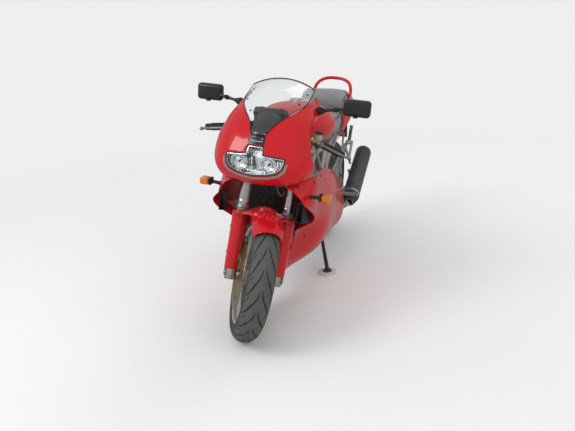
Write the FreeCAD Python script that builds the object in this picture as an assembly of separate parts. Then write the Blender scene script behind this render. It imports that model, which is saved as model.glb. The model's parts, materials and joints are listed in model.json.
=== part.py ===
"""Sport bike with two wheels in line, parked on its side stand with the steering turned to its stop.

Every piece is modelled on the upright bike, in millimetres: +X forward, +Y to the rider's left, +Z up,
with the origin on the ground halfway between the axles. Pieces that steer are then turned about the
steering axis, and the whole bike leans onto its stand so that both tyres and the stand's pad touch the
ground. The row frame keeps +X forward and +Z up, with its origin on the ground below the bike's middle.
"""
import FreeCAD, Part
import math
import os
from FreeCAD import Placement, Rotation, Vector

# Stance
WHEELBASE = 1400.0
RAKE = 24.0
TRAIL = 100.0
STEERING_LOCK = 25.0
LEAN = 8.0

# Wheels
FRONT_TYRE_RADIUS = 300.0
FRONT_TYRE_WIDTH = 120.0
REAR_TYRE_RADIUS = 316.0
REAR_TYRE_WIDTH = 162.0
TYRE_WALL = 9.0
RIM_RADIUS = 216.0
RIM_WALL = 7.0
FRONT_RIM_WIDTH = 96.0
REAR_RIM_WIDTH = 134.0
SPOKES = 3
SPOKE_WIDTH = 46.0
SPOKE_DEPTH = 40.0
HUB_RADIUS = 44.0
AXLE_RADIUS = 12.0
AXLE_BORE_RADIUS = 8.0
HUB_CLEARANCE = 0.05
FRONT_DISC_RADIUS = 160.0
FRONT_DISC_INNER_RADIUS = 124.0
DISC_THICKNESS = 5.0
FRONT_DISC_OFFSET = 66.0
REAR_DISC_RADIUS = 122.0
REAR_DISC_OFFSET = 92.0
SPROCKET_RADIUS = 90.0
SPROCKET_THICKNESS = 7.0
CHAIN_LINE = 100.0
CHAIN_HEIGHT = 12.0
CHAIN_WIDTH = 16.0
CHAIN_CLEARANCE = 1.0
FRONT_SPROCKET_RADIUS = 33.0

# Fork and steering head
FORK_SPACING = 210.0
FORK_TUBE_RADIUS = 27.0
SLIDER_RADIUS = 21.5
FORK_LENGTH = 690.0
OUTER_TUBE_START = 300.0
FOOT_RADIUS = 26.0
LOWER_YOKE_AT = 462.0
UPPER_YOKE_AT = 642.0
YOKE_THICKNESS = 28.0
STEM_RADIUS = 15.0
STEM_BORE_RADIUS = 9.0
HEAD_TUBE_RADIUS = 30.0
HEAD_CLEARANCE = 0.05
YOKE_CLEARANCE = 3.0

# Skins
SKIN = 4.0
SCREEN_THICKNESS = 3.5
FRAME_TUBE_RADIUS = 14.0
SUBFRAME_TUBE_RADIUS = 11.0
FIT_GAP = 0.3
BOUNDS_DEVIATION = 0.2


def at(x, y, z):
    return Vector(x, y, z)


def rod(start, end, radius, bore=0.0):
    """Round bar or tube from start to end."""
    along = end.sub(start)
    solid = Part.makeCylinder(radius, along.Length, start, along)
    if bore:
        solid = solid.cut(Part.makeCylinder(bore, along.Length, start, along))
    return solid


def fused(shapes):
    shapes = list(shapes)
    whole = shapes[0]
    if len(shapes) > 1:
        whole = whole.fuse(shapes[1:])
    return whole.removeSplitter()


def largest(shape):
    """The biggest solid of a shape that a cut has left with scraps."""
    return max(shape.Solids, key=lambda solid: solid.Volume)


def pipe(points, radius):
    """Round tube through the points, with ball corners."""
    pieces = [rod(a, b, radius) for a, b in zip(points, points[1:])]
    pieces += [Part.makeSphere(radius, p) for p in points[1:-1]]
    return fused(pieces)


def beam(start, end, width, height, up=Vector(0, 0, 1)):
    """Square-cornered bar from start to end, width across and height towards up."""
    along = end.sub(start)
    across = up.cross(along).normalize()
    rise = along.cross(across).normalize()
    corner = start - across * (width / 2) - rise * (height / 2)
    points = [
        corner,
        corner + across * width,
        corner + across * width + rise * height,
        corner + rise * height,
    ]
    return Part.Face(Part.makePolygon(points + points[:1])).extrude(along)


def box(low, high):
    size = high.sub(low)
    return Part.makeBox(size.x, size.y, size.z, low)


def lathe(outline, centre, axis=Vector(0, 1, 0)):
    """Turned solid: outline is a closed list of (radius, along) corners about the axis."""
    axis = Vector(axis).normalize()
    side = axis.cross(Vector(0, 0, 1))
    if side.Length < 0.1:
        side = axis.cross(Vector(1, 0, 0))
    side.normalize()
    points = [centre + side * r + axis * a for r, a in outline]
    face = Part.Face(Part.makePolygon(points + points[:1]))
    return face.revolve(centre, axis, 360)


def prism_xz(outline, low_y, high_y):
    """Outline of (x, z) corners drawn out from low_y to high_y."""
    points = [at(x, low_y, z) for x, z in outline]
    return Part.Face(Part.makePolygon(points + points[:1])).extrude(at(0, high_y - low_y, 0))


def other_side(shape):
    return shape.mirror(Vector(0, 0, 0), Vector(0, 1, 0))


def both_sides(shape):
    return [shape, other_side(shape)]


def arc(a, b, c):
    return Part.Arc(a, b, c).toShape()


def inward(points, index, normal, inside):
    """Unit direction at points[index], in the section's plane, that points to the inside."""
    before = points[max(index - 1, 0)]
    after = points[min(index + 1, len(points) - 1)]
    across = normal.cross(after.sub(before)).normalize()
    if across.dot(inside.sub(points[index])) < 0:
        across = across * -1
    return across


def ribbon(points, inside, thickness, depth=0.0):
    """Closed outline of a skin: arcs through the odd number of points, and the same arcs further in.

    depth sinks the whole ribbon below the points."""
    normal = Vector(0, 0, 0)
    for first, second in zip(points, points[1:]):
        normal += first.sub(inside).cross(second.sub(inside))
    normal.normalize()
    steps = [inward(points, i, normal, inside) for i in range(len(points))]
    outer = [p + s * depth for p, s in zip(points, steps)]
    inner = [p + s * (depth + thickness) for p, s in zip(points, steps)]
    edges = [arc(*outer[i:i + 3]) for i in range(0, len(outer) - 2, 2)]
    edges.append(Part.makeLine(outer[-1], inner[-1]))
    edges += [arc(*inner[i - 2:i + 1][::-1]) for i in range(len(inner) - 1, 0, -2)]
    edges.append(Part.makeLine(inner[0], outer[0]))
    return Part.Wire(edges)


def skin(sections, thickness, depth=0.0):
    """Curved panel through (points, inside) sections."""
    wires = [ribbon(points, inside, thickness, depth) for points, inside in sections]
    return Part.makeLoft(wires, True, False)


def body_section(x, bottom_half, side_half, shoulder_half, bottom, side, shoulder, top):
    """Closed cross-section of a rounded body at x: flat below, bowed at the sides and on top."""
    low_left, low_right = at(x, bottom_half, bottom), at(x, -bottom_half, bottom)
    high_left, high_right = at(x, shoulder_half, shoulder), at(x, -shoulder_half, shoulder)
    return Part.Wire([
        Part.makeLine(low_right, low_left),
        arc(low_left, at(x, side_half, side), high_left),
        arc(high_left, at(x, 0, top), high_right),
        arc(high_right, at(x, -side_half, side), low_right),
    ])


def body(stations, inset=0.0, drop=0.0):
    """Loft through body sections. inset shrinks every half width and the top, drop lowers the bottom."""
    wires = []
    ends = (stations[0][0], stations[-1][0])
    for x, bottom_half, side_half, shoulder_half, bottom, side, shoulder, top in stations:
        if inset < 0 and x in ends:
            x += math.copysign(inset, x - sum(ends) / 2)
        wires.append(body_section(x, bottom_half - inset, side_half - inset, shoulder_half - inset,
                                  bottom - drop, side, shoulder - inset, top - inset))
    return Part.makeLoft(wires, True, False)


# Axles, steering axis and fork, worked out from the stance
FRONT_AXLE = at(WHEELBASE / 2, 0, FRONT_TYRE_RADIUS)
REAR_AXLE = at(-WHEELBASE / 2, 0, REAR_TYRE_RADIUS)
RAKE_SINE = math.sin(math.radians(RAKE))
RAKE_COSINE = math.cos(math.radians(RAKE))
UP_FORK = at(-RAKE_SINE, 0, RAKE_COSINE)
AHEAD_OF_FORK = at(RAKE_COSINE, 0, RAKE_SINE)
AXIS_FOOT = at(WHEELBASE / 2 + TRAIL, 0, 0)
FORK_OFFSET = FRONT_AXLE.sub(AXIS_FOOT).dot(AHEAD_OF_FORK)
FORK_HALF = FORK_SPACING / 2


def on_fork(distance, side=0.0, ahead=0.0):
    """Point on the fork legs' plane, distance up from the axle."""
    return FRONT_AXLE + UP_FORK * distance + AHEAD_OF_FORK * ahead + at(0, side, 0)


def on_stem(distance):
    """Point on the steering axis at the same distance up as the fork's."""
    return on_fork(distance, 0, -FORK_OFFSET)


# wheels


def tyre(axle, radius, width):
    """Round-crowned tyre, open towards the rim."""
    crown = width / 2
    ring = radius - crown
    bead = crown * 0.78

    def outline(inset):
        r = crown - inset
        return (at(0, -r, ring), at(0, 0, ring + r), at(0, r, ring))

    outer, inner = outline(0), outline(TYRE_WALL)
    edges = [
        arc(*outer),
        Part.makeLine(outer[2], at(0, bead, RIM_RADIUS)),
        Part.makeLine(at(0, bead, RIM_RADIUS), at(0, bead - TYRE_WALL, RIM_RADIUS)),
        Part.makeLine(at(0, bead - TYRE_WALL, RIM_RADIUS), inner[2]),
        arc(*inner[::-1]),
        Part.makeLine(inner[0], at(0, TYRE_WALL - bead, RIM_RADIUS)),
        Part.makeLine(at(0, TYRE_WALL - bead, RIM_RADIUS), at(0, -bead, RIM_RADIUS)),
        Part.makeLine(at(0, -bead, RIM_RADIUS), outer[0]),
    ]
    ring_solid = Part.Face(Part.Wire(edges)).revolve(Vector(0, 0, 0), Vector(0, 1, 0), 360)
    return ring_solid.translate(axle)


def rim(axle, width, hub_half):
    """Cast wheel: dished barrel, hub bored for the axle, and tapered spokes."""
    half = width / 2
    well = RIM_RADIUS - 22
    barrel = lathe([
        (RIM_RADIUS, -half), (RIM_RADIUS, -half * 0.66), (well, -half * 0.36), (well, half * 0.36),
        (RIM_RADIUS, half * 0.66), (RIM_RADIUS, half), (RIM_RADIUS - RIM_WALL, half),
        (RIM_RADIUS - RIM_WALL, half * 0.7), (well - RIM_WALL, half * 0.4),
        (well - RIM_WALL, -half * 0.4), (RIM_RADIUS - RIM_WALL, -half * 0.7),
        (RIM_RADIUS - RIM_WALL, -half),
    ], Vector(0, 0, 0))
    hub = rod(at(0, -hub_half, 0), at(0, hub_half, 0), HUB_RADIUS)
    spokes = []
    for turn in range(SPOKES):
        spoke = spoke_arm(well - RIM_WALL / 2)
        spoke.rotate(Vector(0, 0, 0), Vector(0, 1, 0), turn * 360.0 / SPOKES)
        spokes.append(spoke)
    wheel = fused([barrel, hub] + spokes)
    bore = AXLE_RADIUS + HUB_CLEARANCE
    wheel = wheel.cut(rod(at(0, -hub_half, 0), at(0, hub_half, 0), bore))
    return wheel.translate(axle)


def spoke_arm(reach):
    """One spoke standing up from the hub, oval in section and waisted halfway out."""
    wires = []
    # distance from the axle, width round the wheel, depth across it
    for out, width, depth in (
        (HUB_RADIUS * 0.6, SPOKE_WIDTH * 1.25, SPOKE_DEPTH * 1.2),
        (reach * 0.55, SPOKE_WIDTH * 0.8, SPOKE_DEPTH * 0.9),
        (reach, SPOKE_WIDTH * 1.2, SPOKE_DEPTH),
    ):
        half_w, half_d = width / 2, depth / 2
        left, right = at(-half_w, 0, out), at(half_w, 0, out)
        wires.append(Part.Wire([
            arc(left, at(0, half_d, out), right),
            arc(right, at(0, -half_d, out), left),
        ]))
    return Part.makeLoft(wires, True, False)


def disc(axle, offset, radius, inner, hub_half):
    """Brake disc: a flat rotor on a spidered carrier that is bolted to the hub's face."""
    side = 1 if offset > 0 else -1
    rotor = lathe([(inner, -DISC_THICKNESS / 2), (radius, -DISC_THICKNESS / 2),
                   (radius, DISC_THICKNESS / 2), (inner, DISC_THICKNESS / 2)], at(0, offset, 0))
    foot = side * hub_half - offset
    carrier = lathe([(HUB_RADIUS - 14, foot), (HUB_RADIUS - 2, foot), (HUB_RADIUS + 8, -side * 2),
                     (inner, -side * 2), (inner, side * 2), (HUB_RADIUS - 14, side * 2)],
                    at(0, offset, 0))
    windows = []
    for turn in range(5):
        window = rod(at(0, offset - 30, (inner + HUB_RADIUS) / 2 + 8),
                     at(0, offset + 30, (inner + HUB_RADIUS) / 2 + 8), (inner - HUB_RADIUS) * 0.27)
        window.rotate(Vector(0, 0, 0), Vector(0, 1, 0), turn * 72.0)
        windows.append(window)
    whole = fused([rotor, carrier]).cut(windows)
    return whole.translate(axle)


def front_wheel():
    hub_half = FRONT_DISC_OFFSET - 8
    discs = [disc(FRONT_AXLE, side * FRONT_DISC_OFFSET, FRONT_DISC_RADIUS,
                  FRONT_DISC_INNER_RADIUS, hub_half) for side in (1, -1)]
    return {
        "front_tyre": [tyre(FRONT_AXLE, FRONT_TYRE_RADIUS, FRONT_TYRE_WIDTH)],
        "front_rim": [rim(FRONT_AXLE, FRONT_RIM_WIDTH, hub_half)],
        "front_discs": discs,
    }


def rear_wheel():
    hub_half = REAR_DISC_OFFSET - 10
    sprocket = lathe([(HUB_RADIUS - 14, -SPROCKET_THICKNESS / 2),
                      (SPROCKET_RADIUS, -SPROCKET_THICKNESS / 2),
                      (SPROCKET_RADIUS, SPROCKET_THICKNESS / 2),
                      (HUB_RADIUS - 14, SPROCKET_THICKNESS / 2)], REAR_AXLE + at(0, CHAIN_LINE, 0))
    carrier = rod(REAR_AXLE + at(0, hub_half, 0),
                  REAR_AXLE + at(0, CHAIN_LINE - SPROCKET_THICKNESS / 2, 0), HUB_RADIUS - 2,
                  HUB_RADIUS - 14)
    return {
        "rear_tyre": [tyre(REAR_AXLE, REAR_TYRE_RADIUS, REAR_TYRE_WIDTH)],
        "rear_rim": [rim(REAR_AXLE, REAR_RIM_WIDTH, hub_half)],
        "rear_disc": [disc(REAR_AXLE, -REAR_DISC_OFFSET, REAR_DISC_RADIUS, 84.0, hub_half)],
        "rear_sprocket": [fused([sprocket, carrier])],
    }


# fork, yokes, handlebars and front mudguard


def fork():
    legs = []
    for side in (FORK_HALF, -FORK_HALF):
        outer = rod(on_fork(OUTER_TUBE_START, side), on_fork(FORK_LENGTH, side), FORK_TUBE_RADIUS)
        slider = rod(on_fork(20, side), on_fork(OUTER_TUBE_START + 10, side), SLIDER_RADIUS)
        foot = rod(on_fork(-30, side), on_fork(62, side), FOOT_RADIUS)
        lug = beam(on_fork(20, side, -55), on_fork(20, side, 0), 20, 60, UP_FORK)
        leg = fused([outer, slider, foot, lug])
        hole = rod(on_fork(0, side - 60), on_fork(0, side + 60), AXLE_RADIUS)
        legs.append(leg.cut(hole))
    end = FORK_HALF + FOOT_RADIUS + 4
    axle = rod(on_fork(0, -end), on_fork(0, end), AXLE_RADIUS, AXLE_BORE_RADIUS)
    return legs, axle


def yokes():
    """Upper and lower yoke joined by the steering stem, clamped round the fork tubes."""
    plates = []
    half = YOKE_THICKNESS / 2
    for middle in (LOWER_YOKE_AT, UPPER_YOKE_AT):
        low, high = middle - half, middle + half
        eyes = [rod(on_fork(low, s), on_fork(high, s), FORK_TUBE_RADIUS + 11)
                for s in (FORK_HALF, -FORK_HALF)]
        boss = rod(on_stem(low), on_stem(high), HEAD_TUBE_RADIUS)
        bridge = beam(on_fork(middle, -FORK_HALF, -12), on_fork(middle, FORK_HALF, -12), 46,
                      YOKE_THICKNESS, UP_FORK)
        plates.append(fused(eyes + [boss, bridge]))
    stem = rod(on_stem(LOWER_YOKE_AT - half), on_stem(UPPER_YOKE_AT + half), STEM_RADIUS)
    whole = fused(plates + [stem])
    whole = whole.cut(rod(on_stem(LOWER_YOKE_AT - half), on_stem(UPPER_YOKE_AT - half),
                          STEM_BORE_RADIUS))
    tubes = [rod(on_fork(0, s), on_fork(FORK_LENGTH, s), FORK_TUBE_RADIUS)
             for s in (FORK_HALF, -FORK_HALF)]
    return whole.cut(tubes)


CLIP_ON_AT = 674.0
BAR_AHEAD = 24.0
BAR_END = at(400, 312, 862)
BAR_RADIUS = 11.0
GRIP_RADIUS = 17.0
GRIP_LENGTH = 125.0
LEVER_AHEAD = 52.0


def handlebars():
    """Clamps and bars, grips, and the levers with their master cylinders, one set a side."""
    clamp_half = 16.0
    middle = on_fork(CLIP_ON_AT, FORK_HALF)
    start = on_fork(CLIP_ON_AT, FORK_HALF, BAR_AHEAD)
    along = BAR_END.sub(start).normalize()
    grip_start = BAR_END - along * GRIP_LENGTH
    clamp = rod(middle - UP_FORK * clamp_half, middle + UP_FORK * clamp_half, FORK_TUBE_RADIUS + 9)
    bar = rod(start, BAR_END, BAR_RADIUS)
    bar_set = fused([clamp, bar]).cut(rod(on_fork(0, FORK_HALF), on_fork(FORK_LENGTH, FORK_HALF),
                                          FORK_TUBE_RADIUS))
    grip = rod(grip_start, BAR_END + along * 4, GRIP_RADIUS)
    grip = fused([grip, rod(grip_start - along * 5, grip_start, GRIP_RADIUS + 5)])
    grip = grip.cut(rod(start, BAR_END, BAR_RADIUS))
    bar_end = rod(BAR_END + along * 4, BAR_END + along * 22, GRIP_RADIUS - 2)

    ahead = along.cross(UP_FORK).normalize()
    if ahead.x < 0:
        ahead = ahead * -1
    ahead = (ahead - at(0, 0, 0.35)).normalize()
    perch = grip_start - along * 28
    holder = rod(perch - along * 12, perch + along * 12, BAR_RADIUS + 7)
    cylinder = rod(perch + ahead * 26 - along * 34, perch + ahead * 26 + along * 16, 13)
    bottle = rod(perch + ahead * 24 + at(0, 0, 8), perch + ahead * 24 + at(0, 0, 52), 19)
    pivot = perch + ahead * 36 + along * 16
    lever = pipe([pivot, pivot + along * 34 + ahead * (LEVER_AHEAD - 36),
                  pivot + along * 120 + ahead * (LEVER_AHEAD - 40),
                  pivot + along * 158 + ahead * (LEVER_AHEAD - 34)], 6)
    tip = Part.makeSphere(9, pivot + along * 158 + ahead * (LEVER_AHEAD - 34))
    control = fused([holder, cylinder, bottle, lever, tip,
                     rod(perch, perch + ahead * 26, 10)]).cut(rod(start, BAR_END, BAR_RADIUS))
    return bar_set, fused([grip, bar_end]), control


MUDGUARD_GAP = 18.0
MUDGUARD_HALF = 72.0
MUDGUARD_FRONT = 63.0
MUDGUARD_REAR = 152.0
SHIELD_RADIUS = 36.0
SHIELD_TOP = 280.0
SHIELD_BOTTOM = 16.0
SHIELD_BRACKETS = (100.0, 210.0)


def round_axle(radius, degrees, side):
    """Point at radius from the front axle, degrees up from straight ahead."""
    turn = math.radians(degrees)
    return FRONT_AXLE + at(radius * math.cos(turn), side, radius * math.sin(turn))


def front_mudguard():
    """Arch over the tyre, with shoulders that run out to a shield down the front of each fork leg."""
    crown = FRONT_TYRE_RADIUS + MUDGUARD_GAP
    edge = crown - 44
    arch_sections = []
    for degrees in (MUDGUARD_FRONT, 80, 102, 127, MUDGUARD_REAR):
        pull = 10 if degrees == MUDGUARD_FRONT else 0
        half = MUDGUARD_HALF - pull
        points = [round_axle(edge, degrees, half), round_axle(crown - 12, degrees, half * 0.72),
                  round_axle(crown + 4, degrees, 0), round_axle(crown - 12, degrees, -half * 0.72),
                  round_axle(edge, degrees, -half)]
        arch_sections.append((points, round_axle(edge - 60, degrees, 0)))
    arch = skin(arch_sections, SKIN)

    shields = []
    # distance up the fork, radius round the leg, and the skin's ends: towards the wheel and outwards
    for distance, radius, wheel_end, outer_end in (
        (SHIELD_TOP, SHIELD_RADIUS + 6, 80, 95),
        (190.0, SHIELD_RADIUS + 2, 62, 100),
        (110.0, SHIELD_RADIUS, 40, 100),
        (SHIELD_BOTTOM, SHIELD_RADIUS - 2, 32, 95),
    ):
        points = []
        for share in (0.0, 0.25, 0.5, 0.75, 1.0):
            turn = math.radians(-wheel_end + share * (wheel_end + outer_end))
            points.append(on_fork(distance, FORK_HALF + radius * math.sin(turn),
                                  radius * math.cos(turn)))
        shields.append((points, on_fork(distance, FORK_HALF, 0)))
    shield = skin(shields, SKIN)
    shoulder = mudguard_shoulder(crown)
    tube = rod(on_fork(OUTER_TUBE_START - 60, FORK_HALF), on_fork(FORK_LENGTH, FORK_HALF),
               FORK_TUBE_RADIUS + 6)
    pieces = [arch]
    for piece in (shield, shoulder.cut(tube)):
        pieces += both_sides(piece)
    for distance in SHIELD_BRACKETS:
        reach = SHIELD_RADIUS - SKIN / 2
        pieces += both_sides(rod(on_fork(distance, FORK_HALF), on_fork(distance, FORK_HALF, reach), 7))
    legs = [rod(on_fork(-30, s), on_fork(OUTER_TUBE_START, s), SLIDER_RADIUS)
            for s in (FORK_HALF, -FORK_HALF)]
    return largest(fused(pieces).cut(legs))


def mudguard_shoulder(crown):
    """Sloping web from the arch's side down to the top of one leg's shield."""
    out = FORK_HALF + SHIELD_RADIUS - 2
    sections = []
    # side, radius from the axle, and the angles of the web's front and rear edges
    for side, radius, front, rear in (
        (MUDGUARD_HALF - 26, crown - 8, 80, 112),
        (FORK_HALF - 8, crown - 32, 97, 114),
        (out, crown - 50, 103, 117),
    ):
        points = [round_axle(radius - 6, front, side), round_axle(radius, (front + rear) / 2, side),
                  round_axle(radius, rear, side)]
        sections.append((points, round_axle(radius - 120, 100, side)))
    return skin(sections, SKIN)


def calipers():
    """Two-pot caliper behind each fork leg, straddling its disc with running clearance."""
    pieces = []
    for side in (1, -1):
        centre = FRONT_AXLE + at(-134, side * (FRONT_DISC_OFFSET + 4), 74)
        block = box(centre - at(34, 27, 46), centre + at(34, 27, 46))
        block = block.makeFillet(9, block.Edges)
        disc_room = rod(FRONT_AXLE + at(0, side * FRONT_DISC_OFFSET - 8, 0),
                        FRONT_AXLE + at(0, side * FRONT_DISC_OFFSET + 8, 0),
                        FRONT_DISC_RADIUS + 6)
        ear = beam(on_fork(22, side * FORK_HALF, -52), centre + at(20, side * 22, -6), 14, 44)
        whole = fused([block.cut(disc_room), ear])
        leg_room = beam(on_fork(20, side * FORK_HALF, -55), on_fork(20, side * FORK_HALF, 0), 20,
                        60, UP_FORK)
        foot_room = rod(on_fork(-30, side * FORK_HALF), on_fork(70, side * FORK_HALF), FOOT_RADIUS)
        pieces.append(largest(whole.cut([leg_room, foot_room, disc_room])))
    return pieces


def steering():
    legs, axle = fork()
    bar_set, grip, control = handlebars()
    return {
        "fork_legs": legs,
        "front_axle": [axle],
        "fork_yokes": [yokes()],
        "clip_on_bars": both_sides(bar_set),
        "grips": both_sides(grip),
        "hand_levers": both_sides(control),
        "front_mudguard": [front_mudguard()],
        "front_calipers": calipers(),
    }


# frame and engine

HEAD_LOW = LOWER_YOKE_AT + YOKE_THICKNESS / 2 + YOKE_CLEARANCE
HEAD_HIGH = UPPER_YOKE_AT - YOKE_THICKNESS / 2 - YOKE_CLEARANCE
PIVOT = at(-235, 0, 400)
PIVOT_HALF = 92.0
TANK_MOUNT_RISE = 60.0
STAND_PIVOT = at(-150, 120, 240)
STAND_PIN_RADIUS = 7.0
EYE_RADIUS = 18.0
EYE_THICKNESS = 14.0
# the leg's direction when down, and the direction it folds to
STAND_DOWN = at(0.43, 0.36, -0.83)
STAND_STOWED = at(-0.93, 0.31, -0.20)
STAND_AXIS = STAND_DOWN.cross(STAND_STOWED).normalize()
FRONT_SPROCKET_AT = at(-165, 0, 400)
CHAIN_ROOM_INSIDE = 86.0


def chain_loop(extra, low_y, high_y):
    """Belt-shaped solid round both sprockets, extra beyond their rims."""
    small, large = FRONT_SPROCKET_AT, REAR_AXLE
    near = FRONT_SPROCKET_RADIUS + CHAIN_CLEARANCE + extra
    far = SPROCKET_RADIUS + CHAIN_CLEARANCE + extra
    across = small.sub(large)
    turn = math.atan2(across.z, across.x)
    lean = math.acos((far - near) / across.Length)

    def rim_point(centre, radius, angle):
        return centre + at(radius * math.cos(angle), low_y, radius * math.sin(angle))

    far_top, near_top = rim_point(large, far, turn + lean), rim_point(small, near, turn + lean)
    near_low, far_low = rim_point(small, near, turn - lean), rim_point(large, far, turn - lean)
    wire = Part.Wire([
        Part.makeLine(far_top, near_top),
        arc(near_top, rim_point(small, near, turn), near_low),
        Part.makeLine(near_low, far_low),
        arc(far_low, rim_point(large, far, turn + math.pi), far_top),
    ])
    return Part.Face(wire).extrude(at(0, high_y - low_y, 0))


def chain_room():
    return chain_loop(CHAIN_HEIGHT + 5, CHAIN_ROOM_INSIDE, CHAIN_LINE + 100)


def frame():
    """Trellis of straight tubes from the steering head to the rear engine mounts."""
    head = rod(on_stem(HEAD_LOW), on_stem(HEAD_HIGH), HEAD_TUBE_RADIUS)
    top = on_stem(HEAD_HIGH - 22) + at(-18, 18, 0)
    low = on_stem(HEAD_LOW + 20) + at(-18, 18, 0)
    # corners of the left side, from front to back
    shoulder, knee = at(170, 128, 772), at(290, 118, 655)
    middle, waist = at(60, 138, 640), at(-40, 128, 755)
    heel, hip = at(-150, 112, 560), at(-225, 112, 700)
    side = [(top, shoulder), (low, knee), (top, knee), (shoulder, knee), (shoulder, middle),
            (knee, middle), (shoulder, waist), (waist, middle), (waist, hip), (middle, heel),
            (waist, heel), (hip, heel)]
    tubes = [rod(a, b, FRAME_TUBE_RADIUS) for a, b in side]
    lug = at(0, FRAME_TUBE_RADIUS + 3, 0)
    tubes += [rod(p - lug, p + lug, FRAME_TUBE_RADIUS + 4)
              for p in (shoulder, knee, middle, waist, heel, hip)]
    tubes.append(beam(heel, at(PIVOT.x, PIVOT_HALF - 14, PIVOT.z), 22, 60, at(1, 0, 0)))
    whole = [head]
    for tube in tubes:
        whole += both_sides(tube)
    for corner in (waist, heel, hip):
        whole.append(rod(corner, at(corner.x, -corner.y, corner.z), FRAME_TUBE_RADIUS))
    whole.append(rod(at(PIVOT.x, -PIVOT_HALF, PIVOT.z), at(PIVOT.x, PIVOT_HALF, PIVOT.z), 30))
    for corner in (shoulder, waist):
        whole += both_sides(rod(corner - at(0, 16, 0), corner + at(0, -16, TANK_MOUNT_RISE), 12))
    for root, out, radius in ((knee, at(0, 130, 0), 8), (heel, at(20, 110, -60), 8)):
        whole += both_sides(rod(root, root + out, radius))
    eye_room = rod(at(PIVOT.x, PIVOT_HALF, PIVOT.z), at(PIVOT.x, PIVOT_HALF + 60, PIVOT.z), 34)
    stem_room = rod(on_stem(HEAD_LOW), on_stem(HEAD_HIGH), STEM_RADIUS + HEAD_CLEARANCE)
    return fused(whole).cut([stem_room, chain_room()] + both_sides(eye_room))


def subframe(main):
    """Seat rails with their struts, bolted to the trellis."""
    front, tail, end = at(-225, 104, 712), at(-560, 104, 790), at(-820, 62, 852)
    foot = at(-165, 104, 585)
    # upright posts under the rider's and the pillion's seat
    posts = [rod(at(-300, 96, 728), at(-300, 96, 850), 9), rod(at(-560, 94, 788), at(-560, 94, 910), 9)]
    tubes = [pipe([front, tail, end], SUBFRAME_TUBE_RADIUS), rod(foot, tail, SUBFRAME_TUBE_RADIUS)]
    whole = []
    for tube in tubes + posts:
        whole += both_sides(tube)
    for corner in (tail, end):
        whole.append(rod(corner, at(corner.x, -corner.y, corner.z), SUBFRAME_TUBE_RADIUS))
    return fused(whole).cut(main)


ENGINE_TILT = 12.0
CYLINDER_HALF = 64.0
FIN_PITCH = 13.0
FIN_THICKNESS = 4.5
FIN_COUNT = 9


def cylinder(root, direction, reach):
    """Finned barrel and head standing out from root."""
    direction = Vector(direction).normalize()
    across = at(0, 1, 0)
    side = direction.cross(across).normalize()
    core = beam(root, root + direction * reach, CYLINDER_HALF * 1.5, CYLINDER_HALF * 1.5, side)
    fins = []
    for step in range(FIN_COUNT):
        start = root + direction * (28 + step * FIN_PITCH)
        fins.append(beam(start, start + direction * FIN_THICKNESS, CYLINDER_HALF * 2,
                         CYLINDER_HALF * 2, side))
    head_start = root + direction * (28 + FIN_COUNT * FIN_PITCH)
    head = beam(head_start, root + direction * reach, CYLINDER_HALF * 2, CYLINDER_HALF * 1.7, side)
    return fused([core, head] + fins)


def engine():
    """V-twin with one barrel forward and one up, as plain masses with their cooling fins."""
    case = prism_xz([(-200, 300), (-150, 250), (110, 235), (175, 290), (185, 470), (80, 540),
                     (-70, 545), (-180, 480)], -98, 98)
    covers = [rod(at(-30, -150, 385), at(-30, 150, 385), 88), rod(at(75, -132, 345), at(75, 132, 345), 62)]
    tilt = math.radians(ENGINE_TILT)
    ahead = at(math.cos(tilt), 0, math.sin(tilt))
    upward = at(-math.sin(tilt), 0, math.cos(tilt))
    barrels = [cylinder(at(150, 0, 405), ahead, 215), cylinder(at(15, 0, 500), upward, 225)]
    lug = box(at(STAND_PIVOT.x - 28, 80, STAND_PIVOT.z - 24), at(STAND_PIVOT.x + 28, 98, 330))
    hub = FRONT_SPROCKET_AT + at(0, CHAIN_LINE, 0)
    sprocket = rod(at(hub.x, CHAIN_ROOM_INSIDE - 4, hub.z), hub + at(0, SPROCKET_THICKNESS / 2, 0),
                   FRONT_SPROCKET_RADIUS)
    pin = rod(STAND_PIVOT - STAND_AXIS * 40, STAND_PIVOT + STAND_AXIS * (EYE_THICKNESS / 2 + 3),
              STAND_PIN_RADIUS)
    case = fused([case, lug] + covers).cut(chain_room())
    crankcase = fused([case, sprocket, pin])
    return crankcase, [largest(barrel.cut(crankcase)) for barrel in barrels]


def build_engine_body():
    crankcase, barrels = engine()
    main = frame().cut([crankcase] + barrels)
    rails = subframe(main)
    return crankcase, barrels, main, rails


# rear suspension

ARM_INSIDE = 116.0
ARM_WIDTH = 26.0
ARM_HEIGHT = 52.0
EYE_CLEARANCE = 1.5
STAND_BOBBIN = at(-640, 0, 332)


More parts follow.
